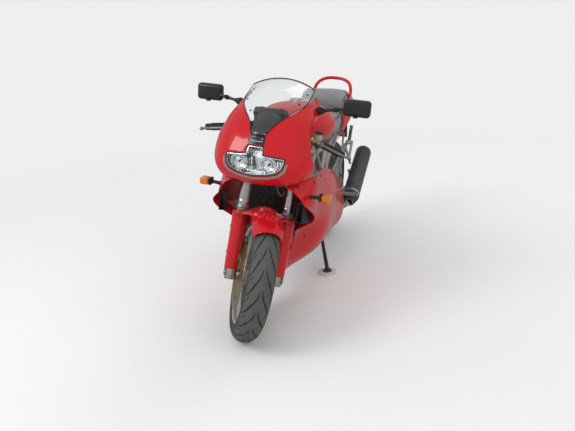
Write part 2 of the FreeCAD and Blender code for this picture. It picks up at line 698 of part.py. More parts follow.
def swingarm():
    """Two arms on the pivot, braced ahead of the tyre, carrying the rear axle."""
    middle = ARM_INSIDE + ARM_WIDTH / 2
    front, back = at(PIVOT.x, middle, PIVOT.z), at(REAR_AXLE.x, middle, REAR_AXLE.z)
    along = back.sub(front).normalize()
    arm = beam(front, back + along * 34, ARM_WIDTH, ARM_HEIGHT)
    eye = rod(at(PIVOT.x, PIVOT_HALF + EYE_CLEARANCE, PIVOT.z),
              at(PIVOT.x, ARM_INSIDE + ARM_WIDTH, PIVOT.z), 27)
    axle_boss = rod(at(REAR_AXLE.x, ARM_INSIDE - 4, REAR_AXLE.z),
                    at(REAR_AXLE.x, ARM_INSIDE + ARM_WIDTH + 10, REAR_AXLE.z), 28)
    bobbin = rod(STAND_BOBBIN + at(0, ARM_INSIDE + ARM_WIDTH - 4, 0),
                 STAND_BOBBIN + at(0, ARM_INSIDE + ARM_WIDTH + 14, 0), 14)
    brace_x = PIVOT.x - 78
    brace_z = PIVOT.z - 12
    whole = []
    for piece in (arm, eye, axle_boss, bobbin):
        whole += both_sides(piece)
    whole.append(box(at(brace_x - 24, -ARM_INSIDE - 4, brace_z - 20),
                     at(brace_x + 24, ARM_INSIDE + 4, brace_z + 20)))
    whole.append(box(at(brace_x - 16, -14, brace_z), at(brace_x + 16, 14, brace_z + 62)))
    end = ARM_INSIDE + ARM_WIDTH + 22
    whole.append(rod(REAR_AXLE + at(0, -end, 0), REAR_AXLE + at(0, end, 0), AXLE_RADIUS))
    arms = fused(whole)
    hole = rod(STAND_BOBBIN + at(0, ARM_INSIDE + 6, 0), STAND_BOBBIN + at(0, 200, 0), 4)
    arms = arms.cut(both_sides(hole))
    return arms.cut(rod(REAR_AXLE + at(0, -end, 0), REAR_AXLE + at(0, end, 0), AXLE_BORE_RADIUS))


def shock(arms, main):
    """Coil-over unit between the swingarm's brace and the frame's rear cross tube."""
    low, high = at(PIVOT.x - 78, 0, PIVOT.z + 44), at(-225, 0, 700)
    along = high.sub(low).normalize()
    spring = rod(low + along * 48, high - along * 62, 33)
    collars = [rod(low + along * 40, low + along * 50, 38), rod(high - along * 64, high - along * 52, 38)]
    rod_body = rod(low + along * 10, high - along * 10, 13)
    head = rod(high - along * 58, high - along * 16, 24)
    unit = fused([spring, rod_body, head] + collars)
    return unit.cut([arms, main])


def chain():
    """Closed loop round both sprockets, as one band."""
    low, high = CHAIN_LINE - CHAIN_WIDTH / 2, CHAIN_LINE + CHAIN_WIDTH / 2
    return chain_loop(CHAIN_HEIGHT, low, high).cut(chain_loop(0, low, high))


# bodywork

COWL_CENTRE_X = 380.0
# degrees round from straight ahead, then (radius, height) from the top edge down to the seam
COWL_SECTIONS = (
    (0.0, ((311, 957), (347, 893), (375, 815), (360, 762), (285, 732))),
    (14.0, ((256, 993), (335, 912), (374, 818), (358, 765), (282, 733))),
    (28.0, ((220, 1023), (318, 932), (367, 822), (354, 770), (277, 736))),
    (42.0, ((192, 1040), (290, 950), (330, 838), (320, 785), (270, 740))),
    (58.0, ((172, 1055), (247, 962), (284, 850), (278, 790), (254, 744))),
    (78.0, ((157, 1064), (214, 970), (250, 858), (246, 797), (234, 746))),
    (99.0, ((162, 1083), (206, 985), (240, 868), (238, 800), (228, 748))),
)
# edge (x, y, z) on the left and the crown (x, z) of each section of the windscreen
SCREEN_SECTIONS = (
    ((690, 33, 956), (692, 962)),
    ((636, 57, 990), (641, 1011)),
    ((570, 104, 1026), (573, 1066)),
    ((488, 141, 1052), (482, 1110)),
    ((345, 146, 1104), (342, 1142)),
)
COCKPIT_SECTIONS = (
    ((690, 28, 944), (692, 949)),
    ((632, 46, 974), (636, 990)),
    ((556, 64, 1002), (558, 1026)),
)
# (x, z) corners, seen from the left, of what is trimmed off the cowl's rear
COWL_REAR_TRIM = ((300, 1120), (352, 1120), (362, 1040), (400, 1000), (540, 990), (580, 964), (604, 915),
                  (618, 878), (610, 845), (588, 800), (562, 770), (556, 700), (200, 700))
LAMP_OUTLINE = ((-128, 869), (-133, 860), (-132, 842), (-124, 822), (-104, 804), (-66, 792), (0, 786),
                (66, 792), (104, 804), (124, 822), (132, 842), (133, 860), (128, 869),
                (42, 878), (36, 912), (-36, 912), (-42, 878))
NECK_OUTLINE = ((-37, 914), (37, 914), (34, 975), (-34, 975))


def cowl_section(degrees, profile):
    turn = math.radians(degrees)
    ahead, side = math.cos(turn), math.sin(turn)
    points = [at(COWL_CENTRE_X + r * ahead, r * side, z) for r, z in profile]
    return points, at(COWL_CENTRE_X + 130 * ahead, 130 * side, 840)


def nose_skin(thickness, depth=0.0):
    right = [cowl_section(-degrees, profile) for degrees, profile in COWL_SECTIONS[:0:-1]]
    left = [cowl_section(degrees, profile) for degrees, profile in COWL_SECTIONS]
    return skin(right + left, thickness, depth)


def seen_from_front(outline, low_x=600.0, high_x=800.0):
    points = [at(low_x, y, z) for y, z in outline]
    return Part.Face(Part.makePolygon(points + points[:1])).extrude(at(high_x - low_x, 0, 0))


def grown(outline, amount):
    """Outline of (y, z) corners pushed out from its middle."""
    mid_z = sum(z for _, z in outline) / len(outline)
    return [(y + math.copysign(amount, y) if y else y, z + math.copysign(amount, z - mid_z))
            for y, z in outline]


def upper_cowl():
    """Nose shell with the headlamp, its bowl, and the slotted neck above it."""
    shell = nose_skin(SKIN).cut(windscreen(1.0))
    trimmed = shell.cut(prism_xz(COWL_REAR_TRIM, -300, 300))
    lamp_hole = seen_from_front(grown(LAMP_OUTLINE, FIT_GAP))
    neck_hole = seen_from_front(NECK_OUTLINE)
    cowl = trimmed.cut([lamp_hole, neck_hole])
    lens = shell.common(seen_from_front(LAMP_OUTLINE))
    neck = shell.common(seen_from_front([(y * 0.985, z) for y, z in NECK_OUTLINE]))
    bowl = nose_skin(SKIN, SKIN + 40).common(seen_from_front(grown(LAMP_OUTLINE, 4)))
    walls = seen_from_front(grown(LAMP_OUTLINE, 5)).cut(seen_from_front(grown(LAMP_OUTLINE, 1)))
    room = nose_skin(36 + SKIN, SKIN + 1)
    bowl = fused([bowl, walls.common(room)])
    return cowl, lens, bowl, neck


def screen_skin(sections, thickness, depth):
    """Skin arched across the bike through (edge, crown) sections."""
    wires = []
    for (x, y, z), (crown_x, crown_z) in sections:
        chord, crown = at(x, 0, z), at(crown_x, 0, crown_z)
        wires.append(([at(x, y, z), crown, at(x, -y, z)], chord + chord.sub(crown) * 3))
    return skin(wires, thickness, depth)


def windscreen(room=0.0):
    """The screen, or with room the space it needs."""
    sections = SCREEN_SECTIONS
    if room:
        sections = [((x + (4 if i == 0 else 0), y + room, z), crown)
                    for i, ((x, y, z), crown) in enumerate(sections)]
    return screen_skin(sections, SCREEN_THICKNESS + 2 * room, 1.0 - room)


def cockpit_panel():
    return screen_skin(COCKPIT_SECTIONS, SKIN, 0)


def instruments():
    """Instrument pod behind the screen, tipped towards the rider."""
    low, high = at(506, 0, 968), at(542, 0, 1028)
    pod = beam(low, high, 150, 40)
    return pod.makeFillet(8, pod.Edges)


def intake_duct():
    """Open duct inside the side cowl's front edge."""
    mouth, back = at(606, 184, 600), at(520, 206, 578)
    return beam(mouth, back, 34, 84).cut(beam(mouth, back, 28, 78))


def fairing_stay():
    """Tube from the steering head to the headlamp, with arms up to the instruments and the mirrors."""
    head = on_stem(552) + AHEAD_OF_FORK * (HEAD_TUBE_RADIUS - 6)
    joint = at(592, 0, 868)
    tubes = [pipe([head, joint, at(730, 0, 868)], 11), pipe([joint, at(566, 0, 950), at(530, 0, 985)], 10),
             pipe([at(408, 190, 1030), at(560, 0, 962), at(408, -190, 1030)], 8)]
    return fused(tubes)


# x, then (half width, height) from the top edge to the belly edge of the left side cowl
SIDE_SECTIONS = (
    (-310.0, ((176, 470), (205, 425), (210, 360), (186, 265), (90, 190))),
    (-120.0, ((186, 600), (215, 530), (220, 430), (190, 275), (62, 165))),
    (80.0, ((194, 690), (224, 610), (228, 470), (198, 300), (52, 160))),
    (250.0, ((204, 728), (228, 650), (229, 500), (190, 320), (52, 165))),
    (400.0, ((212, 742), (227, 655), (214, 530), (124, 400), (62, 190))),
    (530.0, ((205, 742), (220, 690), (222, 600), (214, 520), (204, 450))),
    (650.0, ((112, 733), (165, 700), (185, 650), (190, 610), (190, 570))),
)
SIDE_OUTLINE = ((-330, 272), (-285, 380), (-219, 472), (-110, 575), (0, 640), (85, 672), (330, 742), (440, 745),
                (660, 742), (640, 690), (600, 620), (545, 545), (490, 480), (430, 430), (392, 340),
                (385, 150), (-10, 150), (-40, 272))


def side_skin(thickness, depth=0.0):
    """The left side's curved skin, sunk by depth below its outer face."""
    sections = []
    for x, profile in SIDE_SECTIONS:
        points = [at(x, y, z) for y, z in profile]
        sections.append((points, at(x, 20, (profile[0][1] + profile[-1][1]) / 2)))
    return skin(sections, thickness, depth)


def side_cowl():
    return side_skin(SKIN).common(prism_xz(SIDE_OUTLINE, 0, 260))


TANK_STATIONS = (
    (335.0, 60, 84, 58, 852, 905, 950, 962),
    (250.0, 90, 140, 100, 815, 885, 962, 985),
    (120.0, 120, 186, 128, 802, 890, 975, 999),
    (0.0, 122, 182, 122, 802, 880, 966, 990),
    (-90.0, 105, 138, 92, 815, 868, 930, 948),
    (-142.0, 78, 92, 60, 828, 852, 884, 892),
)
SEAT_STATIONS = (
    (-100.0, 84, 98, 58, 812, 850, 898, 906),
    (-190.0, 116, 130, 94, 784, 826, 864, 872),
    (-310.0, 134, 150, 120, 768, 820, 856, 864),
    (-420.0, 136, 152, 128, 800, 846, 880, 892),
)
PILLION_STATIONS = (
    (-428.0, 112, 138, 122, 870, 895, 925, 935),
    (-500.0, 112, 142, 126, 880, 925, 955, 968),
    (-620.0, 98, 124, 108, 895, 930, 955, 966),
    (-760.0, 60, 82, 66, 908, 930, 946, 952),
)
TAIL_STATIONS = (
    (-225.0, 138, 150, 130, 726, 742, 800, 815),
    (-330.0, 130, 162, 134, 742, 792, 846, 860),
    (-480.0, 118, 172, 138, 784, 840, 905, 922),
    (-700.0, 88, 140, 98, 850, 892, 932, 946),
    (-880.0, 46, 68, 48, 888, 908, 926, 932),
)
# (x, z) corners, seen from the left, of what is trimmed off above the tail's pointed front
TAIL_FRONT_TRIM = ((-200, 720), (-238, 735), (-330, 812), (-440, 900), (-440, 960), (-200, 960))
SEAT_GAP = 1.2
LAMP_FACE = -852.0
CAP_AT = at(60, 0, 998)
CAP_RADIUS = 50.0


def fuel_tank():
    solid = body(TANK_STATIONS)
    tilt = at(0.04, 0, 1).normalize()
    cap = rod(CAP_AT - tilt * 14, CAP_AT + tilt * 7, CAP_RADIUS)
    room = rod(CAP_AT - tilt * 14, CAP_AT + tilt * 40, CAP_RADIUS + 1)
    return solid.cut(room), cap


def seat_and_tail():
    """Seat in two pads, and the tail shell that is open below and closed behind by its lamp."""
    rider = largest(body(SEAT_STATIONS).cut(body(TANK_STATIONS, -SEAT_GAP)))
    seat = Part.makeCompound([rider, body(PILLION_STATIONS)])
    outer = body(TAIL_STATIONS)
    lamp_side = box(at(-1000, -200, 0), at(LAMP_FACE, 200, 1200))
    lamp = outer.common(lamp_side)
    outer = outer.cut(lamp_side.translate(at(FIT_GAP, 0, 0)))
    inner = body(TAIL_STATIONS, SKIN, 30)
    room = [inner, body(SEAT_STATIONS, -SEAT_GAP), body(PILLION_STATIONS, -SEAT_GAP),
            prism_xz(TAIL_FRONT_TRIM, -250, 250)]
    return seat, largest(outer.cut(room)), lamp


def grab_rail():
    left = [at(-690, 114, 905), at(-712, 113, 958), at(-750, 94, 994), at(-778, 52, 1011)]
    right = [at(p.x, -p.y, p.z) for p in reversed(left)]
    return pipe(left + [at(-786, 0, 1014)] + right, 10).cut(body(TAIL_STATIONS, -FIT_GAP))


# exhaust, footrests, lamps and mirrors

MUFFLER_FRONT = at(-440, 226, 368)
MUFFLER_BACK = at(-850, 213, 560)
MUFFLER_RADIUS = 50.0


def exhaust():
    along = MUFFLER_BACK.sub(MUFFLER_FRONT).normalize()
    can = rod(MUFFLER_FRONT, MUFFLER_BACK, MUFFLER_RADIUS)
    cone = Part.makeCone(30, MUFFLER_RADIUS, 50, MUFFLER_FRONT - along * 50, along)
    outlet = rod(MUFFLER_BACK - along * 150, MUFFLER_BACK, 30)
    muffler = fused([can, cone]).cut(outlet)
    start = MUFFLER_FRONT - along * 50
    route = pipe([start, at(-405, 212, 338), at(-290, 118, 268), at(-215, 62, 214), at(150, 62, 212),
                  at(285, 62, 258), at(338, 44, 392)], 20)
    route = route.cut(muffler)
    return muffler, route


def footrest():
    """Hanger plate from the subframe with the rider's and the pillion's pegs on it."""
    plate = prism_xz([(-150, 560), (-172, 604), (-330, 655), (-545, 690), (-556, 664), (-430, 590),
                      (-352, 470), (-362, 398), (-330, 390), (-300, 420), (-215, 520)], 150, 158)
    window = prism_xz([(-225, 572), (-330, 625), (-430, 640), (-395, 590), (-330, 500)], 140, 170)
    peg = rod(at(-345, 156, 410), at(-345, 282, 416), 12)
    rear_peg = rod(at(-530, 166, 672), at(-556, 168, 776), 9)
    hinge = rod(at(-530, 156, 676), at(-530, 178, 676), 13)
    arms = [rod(at(-470, 156, 668), at(-532, 176, 574), 8), rod(at(-590, 174, 668), at(-532, 176, 574), 8),
            rod(at(-590, 174, 668), at(-530, 166, 676), 8)]
    spacers = [rod(at(-175, 108, 588), at(-175, 156, 588), 11), rod(at(-400, 108, 754), at(-400, 156, 754), 9),
               beam(at(-400, 154, 760), at(-400, 154, 640), 24, 8, at(0, 1, 0)),
               rod(at(-532, 176, 580), at(-520, 190, 548), 8), hinge] + arms
    return fused([plate.cut(window), peg, rear_peg] + spacers)


def mirror():
    base, ball, head = at(410, 189, 1026), at(398, 264, 1037), at(376, 352, 1050)
    stalk = pipe([base, ball, head], 7)
    foot = Part.makeSphere(18, base)
    half = at(22, 62, 38)
    shell = box(head - half, head + half)
    shell = shell.makeFillet(16, shell.Edges)
    return fused([stalk, foot, shell])


def indicator(root, tip):
    along = tip.sub(root).normalize()
    stalk = rod(root, tip, 9)
    lamp = box(tip - at(22, 20, 17), tip + at(22, 32, 17))
    lamp = lamp.makeFillet(9, lamp.Edges)
    return fused([stalk, lamp])


def rear_mudguard():
    """Bent plate down behind the rear wheel, with a blank number plate and the rear indicators."""
    plate = prism_xz([(-700, 838), (-845, 838), (-912, 640), (-908, 639), (-842, 834), (-700, 834)],
                     -72, 72)
    blank = beam(at(-885, 0, 712), at(-917, 0, 618), 160, 4)
    lamps = both_sides(indicator(at(-856, 60, 800), at(-858, 112, 800)))
    return fused([plate, blank] + lamps)


# side stand

STAND_FOOT = at(-40, 210, 0)
LEG_RADIUS = 11.0
PAD_RADIUS = 52.0
PAD_THICKNESS = 10.0


def side_stand(parked):
    """Leg from the pivot to the ground on the leaning bike, and the round pad under its foot."""
    to_bike = parked.inverse()
    foot = to_bike.multVec(STAND_FOOT + at(0, 0, PAD_THICKNESS))
    along = foot.sub(STAND_PIVOT).normalize()
    half = STAND_AXIS * (EYE_THICKNESS / 2)
    eye = rod(STAND_PIVOT - half, STAND_PIVOT + half, EYE_RADIUS)
    leg = Part.makeCone(LEG_RADIUS - 2, LEG_RADIUS, foot.sub(STAND_PIVOT).Length - 4, STAND_PIVOT, along)
    shoe = moved(rod(STAND_FOOT + at(0, 0, PAD_THICKNESS), STAND_FOOT + at(0, 0, PAD_THICKNESS + 8),
                     24), to_bike)
    pad = moved(rod(STAND_FOOT, STAND_FOOT + at(0, 0, PAD_THICKNESS), PAD_RADIUS), to_bike)
    pin_room = rod(STAND_PIVOT - STAND_AXIS * 60, STAND_PIVOT + half * 3,
                   STAND_PIN_RADIUS + HUB_CLEARANCE)
    return fused([eye, leg, shoe]).cut([pad, pin_room]), pad


# parking the bike

def moved(shape, placement):
    copy = shape.copy()
    copy.Placement = placement.multiply(copy.Placement)
    return copy


def steered(angle=STEERING_LOCK):
    """Turn about the steering axis, to the left for a positive angle."""
    turn = Rotation(UP_FORK, angle)
    return Placement(AXIS_FOOT - turn.multVec(AXIS_FOOT), turn)


def lowest(placement, axle, radius, width):
    """Height of a round-crowned tyre's lowest point after the placement."""
    tilt = placement.Rotation.multVec(at(0, 1, 0)).z
    crown = width / 2
    return placement.multVec(axle).z - (radius - crown) * math.sqrt(1 - tilt * tilt) - crown


def parked_placement():
    """Lean, pitch and lift that set both tyres on the ground."""
    lean = Rotation(at(1, 0, 0), -LEAN)
    pitch = 0.0
    for _ in range(20):
        placement = Placement(at(0, 0, 0), Rotation(at(0, 1, 0), pitch).multiply(lean))
        front = lowest(placement.multiply(steered()), FRONT_AXLE, FRONT_TYRE_RADIUS, FRONT_TYRE_WIDTH)
        rear = lowest(placement, REAR_AXLE, REAR_TYRE_RADIUS, REAR_TYRE_WIDTH)
        pitch += math.degrees((front - rear) / WHEELBASE)
    return Placement(at(0, 0, -rear), placement.Rotation)


def chassis():
    crankcase, barrels, main, rails = build_engine_body()
    arms = swingarm()
    tank, cap = fuel_tank()
    seat, tail, lamp = seat_and_tail()
    cowl, lens, bowl, neck = upper_cowl()
    panel = side_cowl()
    outside = both_sides(side_skin(SKIN + 60 + FIT_GAP, -60))
    muffler, route = exhaust()
    tank_room = body(TANK_STATIONS, -FIT_GAP)
    seat_room = [body(SEAT_STATIONS, -FIT_GAP), body(PILLION_STATIONS, -FIT_GAP)]
    main = main.cut([tank_room] + outside)
    rails = rails.cut(seat_room)
    route = route.cut([crankcase] + barrels)
    pod, dash = instruments(), cockpit_panel()
    stay = largest(fairing_stay().cut([main, bowl, cowl, pod]))
    cooler = [box(at(366, -125, 500), at(398, 125, 640))]
    cooler += both_sides(rod(at(376, 112, 628), at(296, 114, 652), 7))
    cooler = fused(cooler).cut([main])
    blinker = indicator(at(560, 214, 668), at(563, 275, 673)).cut(side_skin(SKIN + 30, -FIT_GAP))
    hanger = footrest().cut([main, rails, muffler])
    duct = largest(intake_duct().cut(outside[0]))
    glass = largest(windscreen().cut([cowl, neck]))
    return {
        "frame_trellis": [main],
        "seat_subframe": [rails],
        "engine_crankcase": [crankcase],
        "engine_cylinders": barrels,
        "oil_cooler": [cooler],
        "fuel_tank": [tank],
        "fuel_cap": [cap],
        "seat": seat.Solids,
        "tail_cowl": [tail],
        "tail_lamp": [lamp],
        "grab_rail": [grab_rail()],
        "rear_mudguard": [rear_mudguard().cut(rails)],
        "upper_cowl": [cowl],
        "headlamp_lens": [lens],
        "headlamp_bowl": [bowl],
        "cowl_neck": [neck],
        "windscreen": [glass],
        "cockpit_panel": [largest(dash.cut([cowl, neck, glass, pod]))],
        "instruments": [pod],
        "fairing_stay": [stay],
        "side_cowl_left": [panel],
        "side_cowl_right": [other_side(panel)],
        "mirrors": both_sides(largest(mirror().cut([cowl, stay]))),
        "indicators": both_sides(blinker),
        "intake_ducts": both_sides(duct),
        "swingarm": [arms],
        "rear_shock": [shock(arms, main)],
        "drive_chain": [chain()],
        "mufflers": both_sides(muffler),
        "exhaust_pipes": both_sides(route),
        "footrest_left": [hanger],
        "footrest_right": [other_side(hanger)],
    }


def bounds(shapes):
    """Box round the faces themselves, because a curved face's own box can reach past it."""
    whole = FreeCAD.BoundBox()
    for shape in shapes:
        for point in shape.tessellate(BOUNDS_DEVIATION)[0]:
            whole.add(point)
    return whole


def build():
    """Every node as its solids in the row frame, and the placement that puts the bike there."""
    park = parked_placement()
    leg, pad = side_stand(park)
    nodes = dict(chassis())
    nodes["stand_leg"], nodes["stand_pad"] = [leg], [pad]
    nodes.update(rear_wheel())
    turning = dict(steering())
    turning.update(front_wheel())
    for name, solids in turning.items():
        nodes[name] = [moved(solid, steered()) for solid in solids]
    nodes = {name: [moved(solid, park) for solid in solids] for name, solids in nodes.items()}
    box_all = bounds(solid for solids in nodes.values() for solid in solids)
    centre = at((box_all.XMin + box_all.XMax) / 2, (box_all.YMin + box_all.YMax) / 2, 0)
    home = Placement(centre * -1, Rotation())
    nodes = {name: [moved(solid, home) for solid in solids] for name, solids in nodes.items()}
    return nodes, home.multiply(park)


def export():
    nodes, _ = build()
    os.makedirs("parts", exist_ok=True)
    for name, solids in nodes.items():
        shape = solids[0] if len(solids) == 1 else Part.makeCompound(solids)
        shape.exportStep("parts/%s.step" % name)
        print(name, len(shape.Solids), shape.isValid(), round(shape.Volume / 1000.0))


if __name__ == "__main__":
    export()
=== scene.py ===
"""Looks for a sport bike that stands parked on its side stand with the front wheel turned left.

New pieces are modelled on the upright bike, in metres: +X forward, +Y to the rider's left, +Z up, with
the origin on the ground halfway between the axles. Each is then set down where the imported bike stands.
"""
import json
import math
from contextlib import contextmanager

import bpy
from bpy.props import FloatProperty, FloatVectorProperty, IntProperty, PointerProperty
from mathutils import Matrix, Vector
from mathutils.bvhtree import BVHTree


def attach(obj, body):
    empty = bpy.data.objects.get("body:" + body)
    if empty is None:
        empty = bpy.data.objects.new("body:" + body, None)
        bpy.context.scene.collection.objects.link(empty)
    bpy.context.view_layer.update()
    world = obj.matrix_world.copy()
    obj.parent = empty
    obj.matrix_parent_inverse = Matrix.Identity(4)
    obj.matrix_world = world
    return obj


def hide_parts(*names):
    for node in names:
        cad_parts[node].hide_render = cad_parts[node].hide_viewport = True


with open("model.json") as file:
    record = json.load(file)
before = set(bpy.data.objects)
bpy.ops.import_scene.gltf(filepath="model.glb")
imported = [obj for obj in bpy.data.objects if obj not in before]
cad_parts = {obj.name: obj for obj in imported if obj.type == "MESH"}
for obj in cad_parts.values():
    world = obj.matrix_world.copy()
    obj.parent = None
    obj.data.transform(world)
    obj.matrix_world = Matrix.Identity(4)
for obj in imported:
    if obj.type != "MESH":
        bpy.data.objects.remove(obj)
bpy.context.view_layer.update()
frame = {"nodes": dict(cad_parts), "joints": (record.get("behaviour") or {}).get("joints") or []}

bl_info = {
    "name": "Sport bike detail",
    "version": (1, 0, 0),
    "blender": (4, 5, 0),
    "location": "3D View > Sidebar > Sport bike",
    "description": "Detail pieces, finishes, floor, lamps and camera for the parked sport bike",
    "category": "Object",
}

# Stance, as in the part's source
RAKE = math.radians(24)
LOCK = math.radians(25)
FRONT_RADIUS, FRONT_HALF = 0.300, 0.060
REAR_RADIUS, REAR_HALF = 0.316, 0.081
RIM_RADIUS = 0.216

FORWARD = Vector((1, 0, 0))
LEFT = Vector((0, 1, 0))
UP = Vector((0, 0, 1))
UP_FORK = Vector((-math.sin(RAKE), 0, math.cos(RAKE)))
AHEAD = Vector((math.cos(RAKE), 0, math.sin(RAKE)))


def at(x, y, z):
    """Point on the upright bike, given in millimetres."""
    return Vector((x, y, z)) / 1000


FRONT_AXLE = at(700, 0, 300)
REAR_AXLE = at(-700, 0, 316)
LEG_SIDE = 105


def on_fork(distance, side=0.0, ahead=0.0):
    """Point on the fork legs' plane, in millimetres up from the front axle."""
    return FRONT_AXLE + (UP_FORK * distance + AHEAD * ahead + LEFT * side) / 1000


def parked():
    """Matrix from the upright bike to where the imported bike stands."""
    joints = {joint["name"]: joint for joint in frame["joints"]}
    spin, turn = joints["rear_wheel_spin"], joints["steering_turn"]
    across, up = Vector(spin["axis"]).normalized(), Vector(turn["axis"]).normalized()
    ahead = across.cross(up).normalized()
    x = ahead * math.cos(RAKE) - up * math.sin(RAKE)
    z = ahead * math.sin(RAKE) + up * math.cos(RAKE)
    turned = Matrix((x, across, z)).transposed()
    return Matrix.Translation(Vector(spin["pos_m"]) - turned @ REAR_AXLE) @ turned.to_4x4()


PARKED = parked()
FOOT = at(800, 0, 0)
STEERED = PARKED @ Matrix.Translation(FOOT) @ Matrix.Rotation(LOCK, 4, UP_FORK) @ Matrix.Translation(-FOOT)


def place_of(body):
    """Matrix from the upright bike to where a body is packed."""
    return STEERED if body in ("steering", "front_wheel") else PARKED


# Sizes and colours
def colour(name, text, value):
    return FloatVectorProperty(name=name, description=text, subtype="COLOR", default=value, min=0, max=1)


def length(name, text, value):
    return FloatProperty(name=name, description=text, default=value, min=0, unit="LENGTH", precision=4)


class PaintSettings(bpy.types.PropertyGroup):
    body: colour("Body paint", "Gloss paint of the fairing, tank, tail and front mudguard",
                 (0.53, 0.004, 0.010))
    # Painted reflection of the ground: this orange-red is mixed into the body paint low down towards the
    # rear.
    painted_ground_reflection: colour("Sunned paint", "What the body paint fades to, low down towards the rear",
                   (0.62, 0.030, 0.010))
    frame: colour("Frame paint", "Satin paint of the trellis and the subframe", (0.50, 0.49, 0.46))
    seat: colour("Seat cover", "Matt cover of both seat pads", (0.185, 0.186, 0.192))
    muffler: colour("Muffler coat", "Satin coat of the muffler sleeves", (0.036, 0.037, 0.042))
    gold: colour("Gold alloy", "Anodised disc carriers and master cylinders", (0.50, 0.34, 0.12))
    orange: colour("Indicator lens", "Moulded orange lenses", (0.95, 0.27, 0.01))
    soft_edge: length("Panel edge", "Radius along the edges of the painted panels", 0.0008)


class TyreSettings(bpy.types.PropertyGroup):
    front_pitches: IntProperty(name="Front pitches", description="Groove pairs round the front tyre",
                               default=20, min=4, max=60)
    rear_pitches: IntProperty(name="Rear pitches", description="Groove pairs round the rear tyre",
                              default=18, min=4, max=60)
    groove: length("Groove", "Half width of a tread groove", 0.0030)
    steps: IntProperty(name="Steps", description="Faces round each tyre", default=180, min=48, max=360)


class ViewSettings(bpy.types.PropertyGroup):
    place: FloatVectorProperty(name="Camera", description="Camera from under the rear axle",
                               subtype="TRANSLATION", unit="LENGTH", default=(3.844, 0.993, 1.409))
    turn: FloatVectorProperty(name="Camera turn", description="How the camera is turned", subtype="EULER",
                              unit="ROTATION", default=tuple(math.radians(a) for a in (72.18, 3.96, 106.83)))
    lens: FloatProperty(name="Lens", description="Focal length on a 36 mm wide sensor", default=39.28,
                        unit="CAMERA")
    lamp: FloatProperty(name="Lamp power", description="Power of the main soft lamp", default=120.0,
                        unit="POWER")
    sky: FloatProperty(name="Sky", description="Strength of the even light all round", default=0.80)
    ground: colour("Floor", "Pale plain floor", (0.80, 0.80, 0.79))


# Modelling steps

MERGED = 1e-6


def put_down():
    """Leaves edit mode and deselects everything."""
    if bpy.context.object and bpy.context.object.mode != "OBJECT":
        bpy.ops.object.mode_set(mode="OBJECT")
    bpy.ops.object.select_all(action="DESELECT")


@contextmanager
def editing():
    """Edit mode on the active piece, with all of it selected."""
    bpy.ops.object.mode_set(mode="EDIT")
    bpy.ops.mesh.select_all(action="SELECT")
    yield
    bpy.ops.object.mode_set(mode="OBJECT")


def pointed_out():
    """Turns the active piece's faces outwards, in edit mode."""
    bpy.ops.mesh.select_all(action="SELECT")
    bpy.ops.mesh.normals_make_consistent(inside=False)


def facing(centre, axis):
    """Matrix that sets what is made along Z at a centre, along an axis."""
    return Matrix.Translation(centre) @ axis.to_track_quat("Z", "Y").to_matrix().to_4x4()


def only(*pieces):
    """Selects these pieces alone and makes the first one active."""
    put_down()
    for piece in pieces:
        piece.select_set(True)
    bpy.context.view_layer.objects.active = pieces[0]


def joined(pieces):
    pieces = list(pieces)
    only(*pieces)
    if len(pieces) > 1:
        bpy.ops.object.join()
    return bpy.context.object


def fixed(piece):
    """Bakes a piece's place into its mesh."""
    only(piece)
    bpy.ops.object.transform_apply(location=True, rotation=True, scale=True)
    return piece


def modified(piece, kind, **values):
    """Adds one modifier and applies it."""
    only(piece)
    modifier = piece.modifiers.new(kind.title(), kind)
    for key, value in values.items():
        setattr(modifier, key, value)
    bpy.ops.object.modifier_apply(modifier=modifier.name)
    return piece


def softened(piece, width, segments=2, angle=35):
    return modified(piece, "BEVEL", width=width, segments=segments, limit_method="ANGLE",
                    angle_limit=math.radians(angle), use_clamp_overlap=True)


def both_sides(piece):
    """Adds the same shape on the bike's other side."""
    return modified(piece, "MIRROR", use_axis=(False, True, False), use_mirror_merge=False)


def linked(name, data):
    """New object in the scene with this data."""
    piece = bpy.data.objects.new(name, data)
    bpy.context.scene.collection.objects.link(piece)
    return piece


def copied(piece):
    return linked("copy", piece.data.copy())


def rod(start, end, radius, tip=None, sides=24, soft=0.0):
    """Round bar from start to end, that narrows to tip."""
    along = end - start
    put_down()
    bpy.ops.mesh.primitive_cone_add(vertices=sides, radius1=radius, radius2=radius if tip is None else tip,
                                    depth=along.length, location=(start + end) / 2,
                                    rotation=along.to_track_quat("Z", "Y").to_euler())
    piece = fixed(bpy.context.object)
    return softened(piece, soft) if soft else piece


def block(centre, size, soft=0.0, along=FORWARD, up=UP, segments=2):
    """Rounded block; size runs along, across and up."""
    put_down()
    bpy.ops.mesh.primitive_cube_add(size=1)
    piece = bpy.context.object
    ahead = along.normalized()
    across = up.cross(ahead).normalized()
    square = Matrix((ahead, across, ahead.cross(across))).transposed().to_4x4()
    piece.matrix_world = Matrix.Translation(centre) @ square @ Matrix.Diagonal(Vector(size).to_4d())
    fixed(piece)
    return softened(piece, soft, segments) if soft else piece


def ball(centre, radius, squash=(1, 1, 1)):
    put_down()
    bpy.ops.mesh.primitive_uv_sphere_add(segments=24, ring_count=14, radius=radius, location=centre)
    bpy.context.object.scale = squash
    return fixed(bpy.context.object)


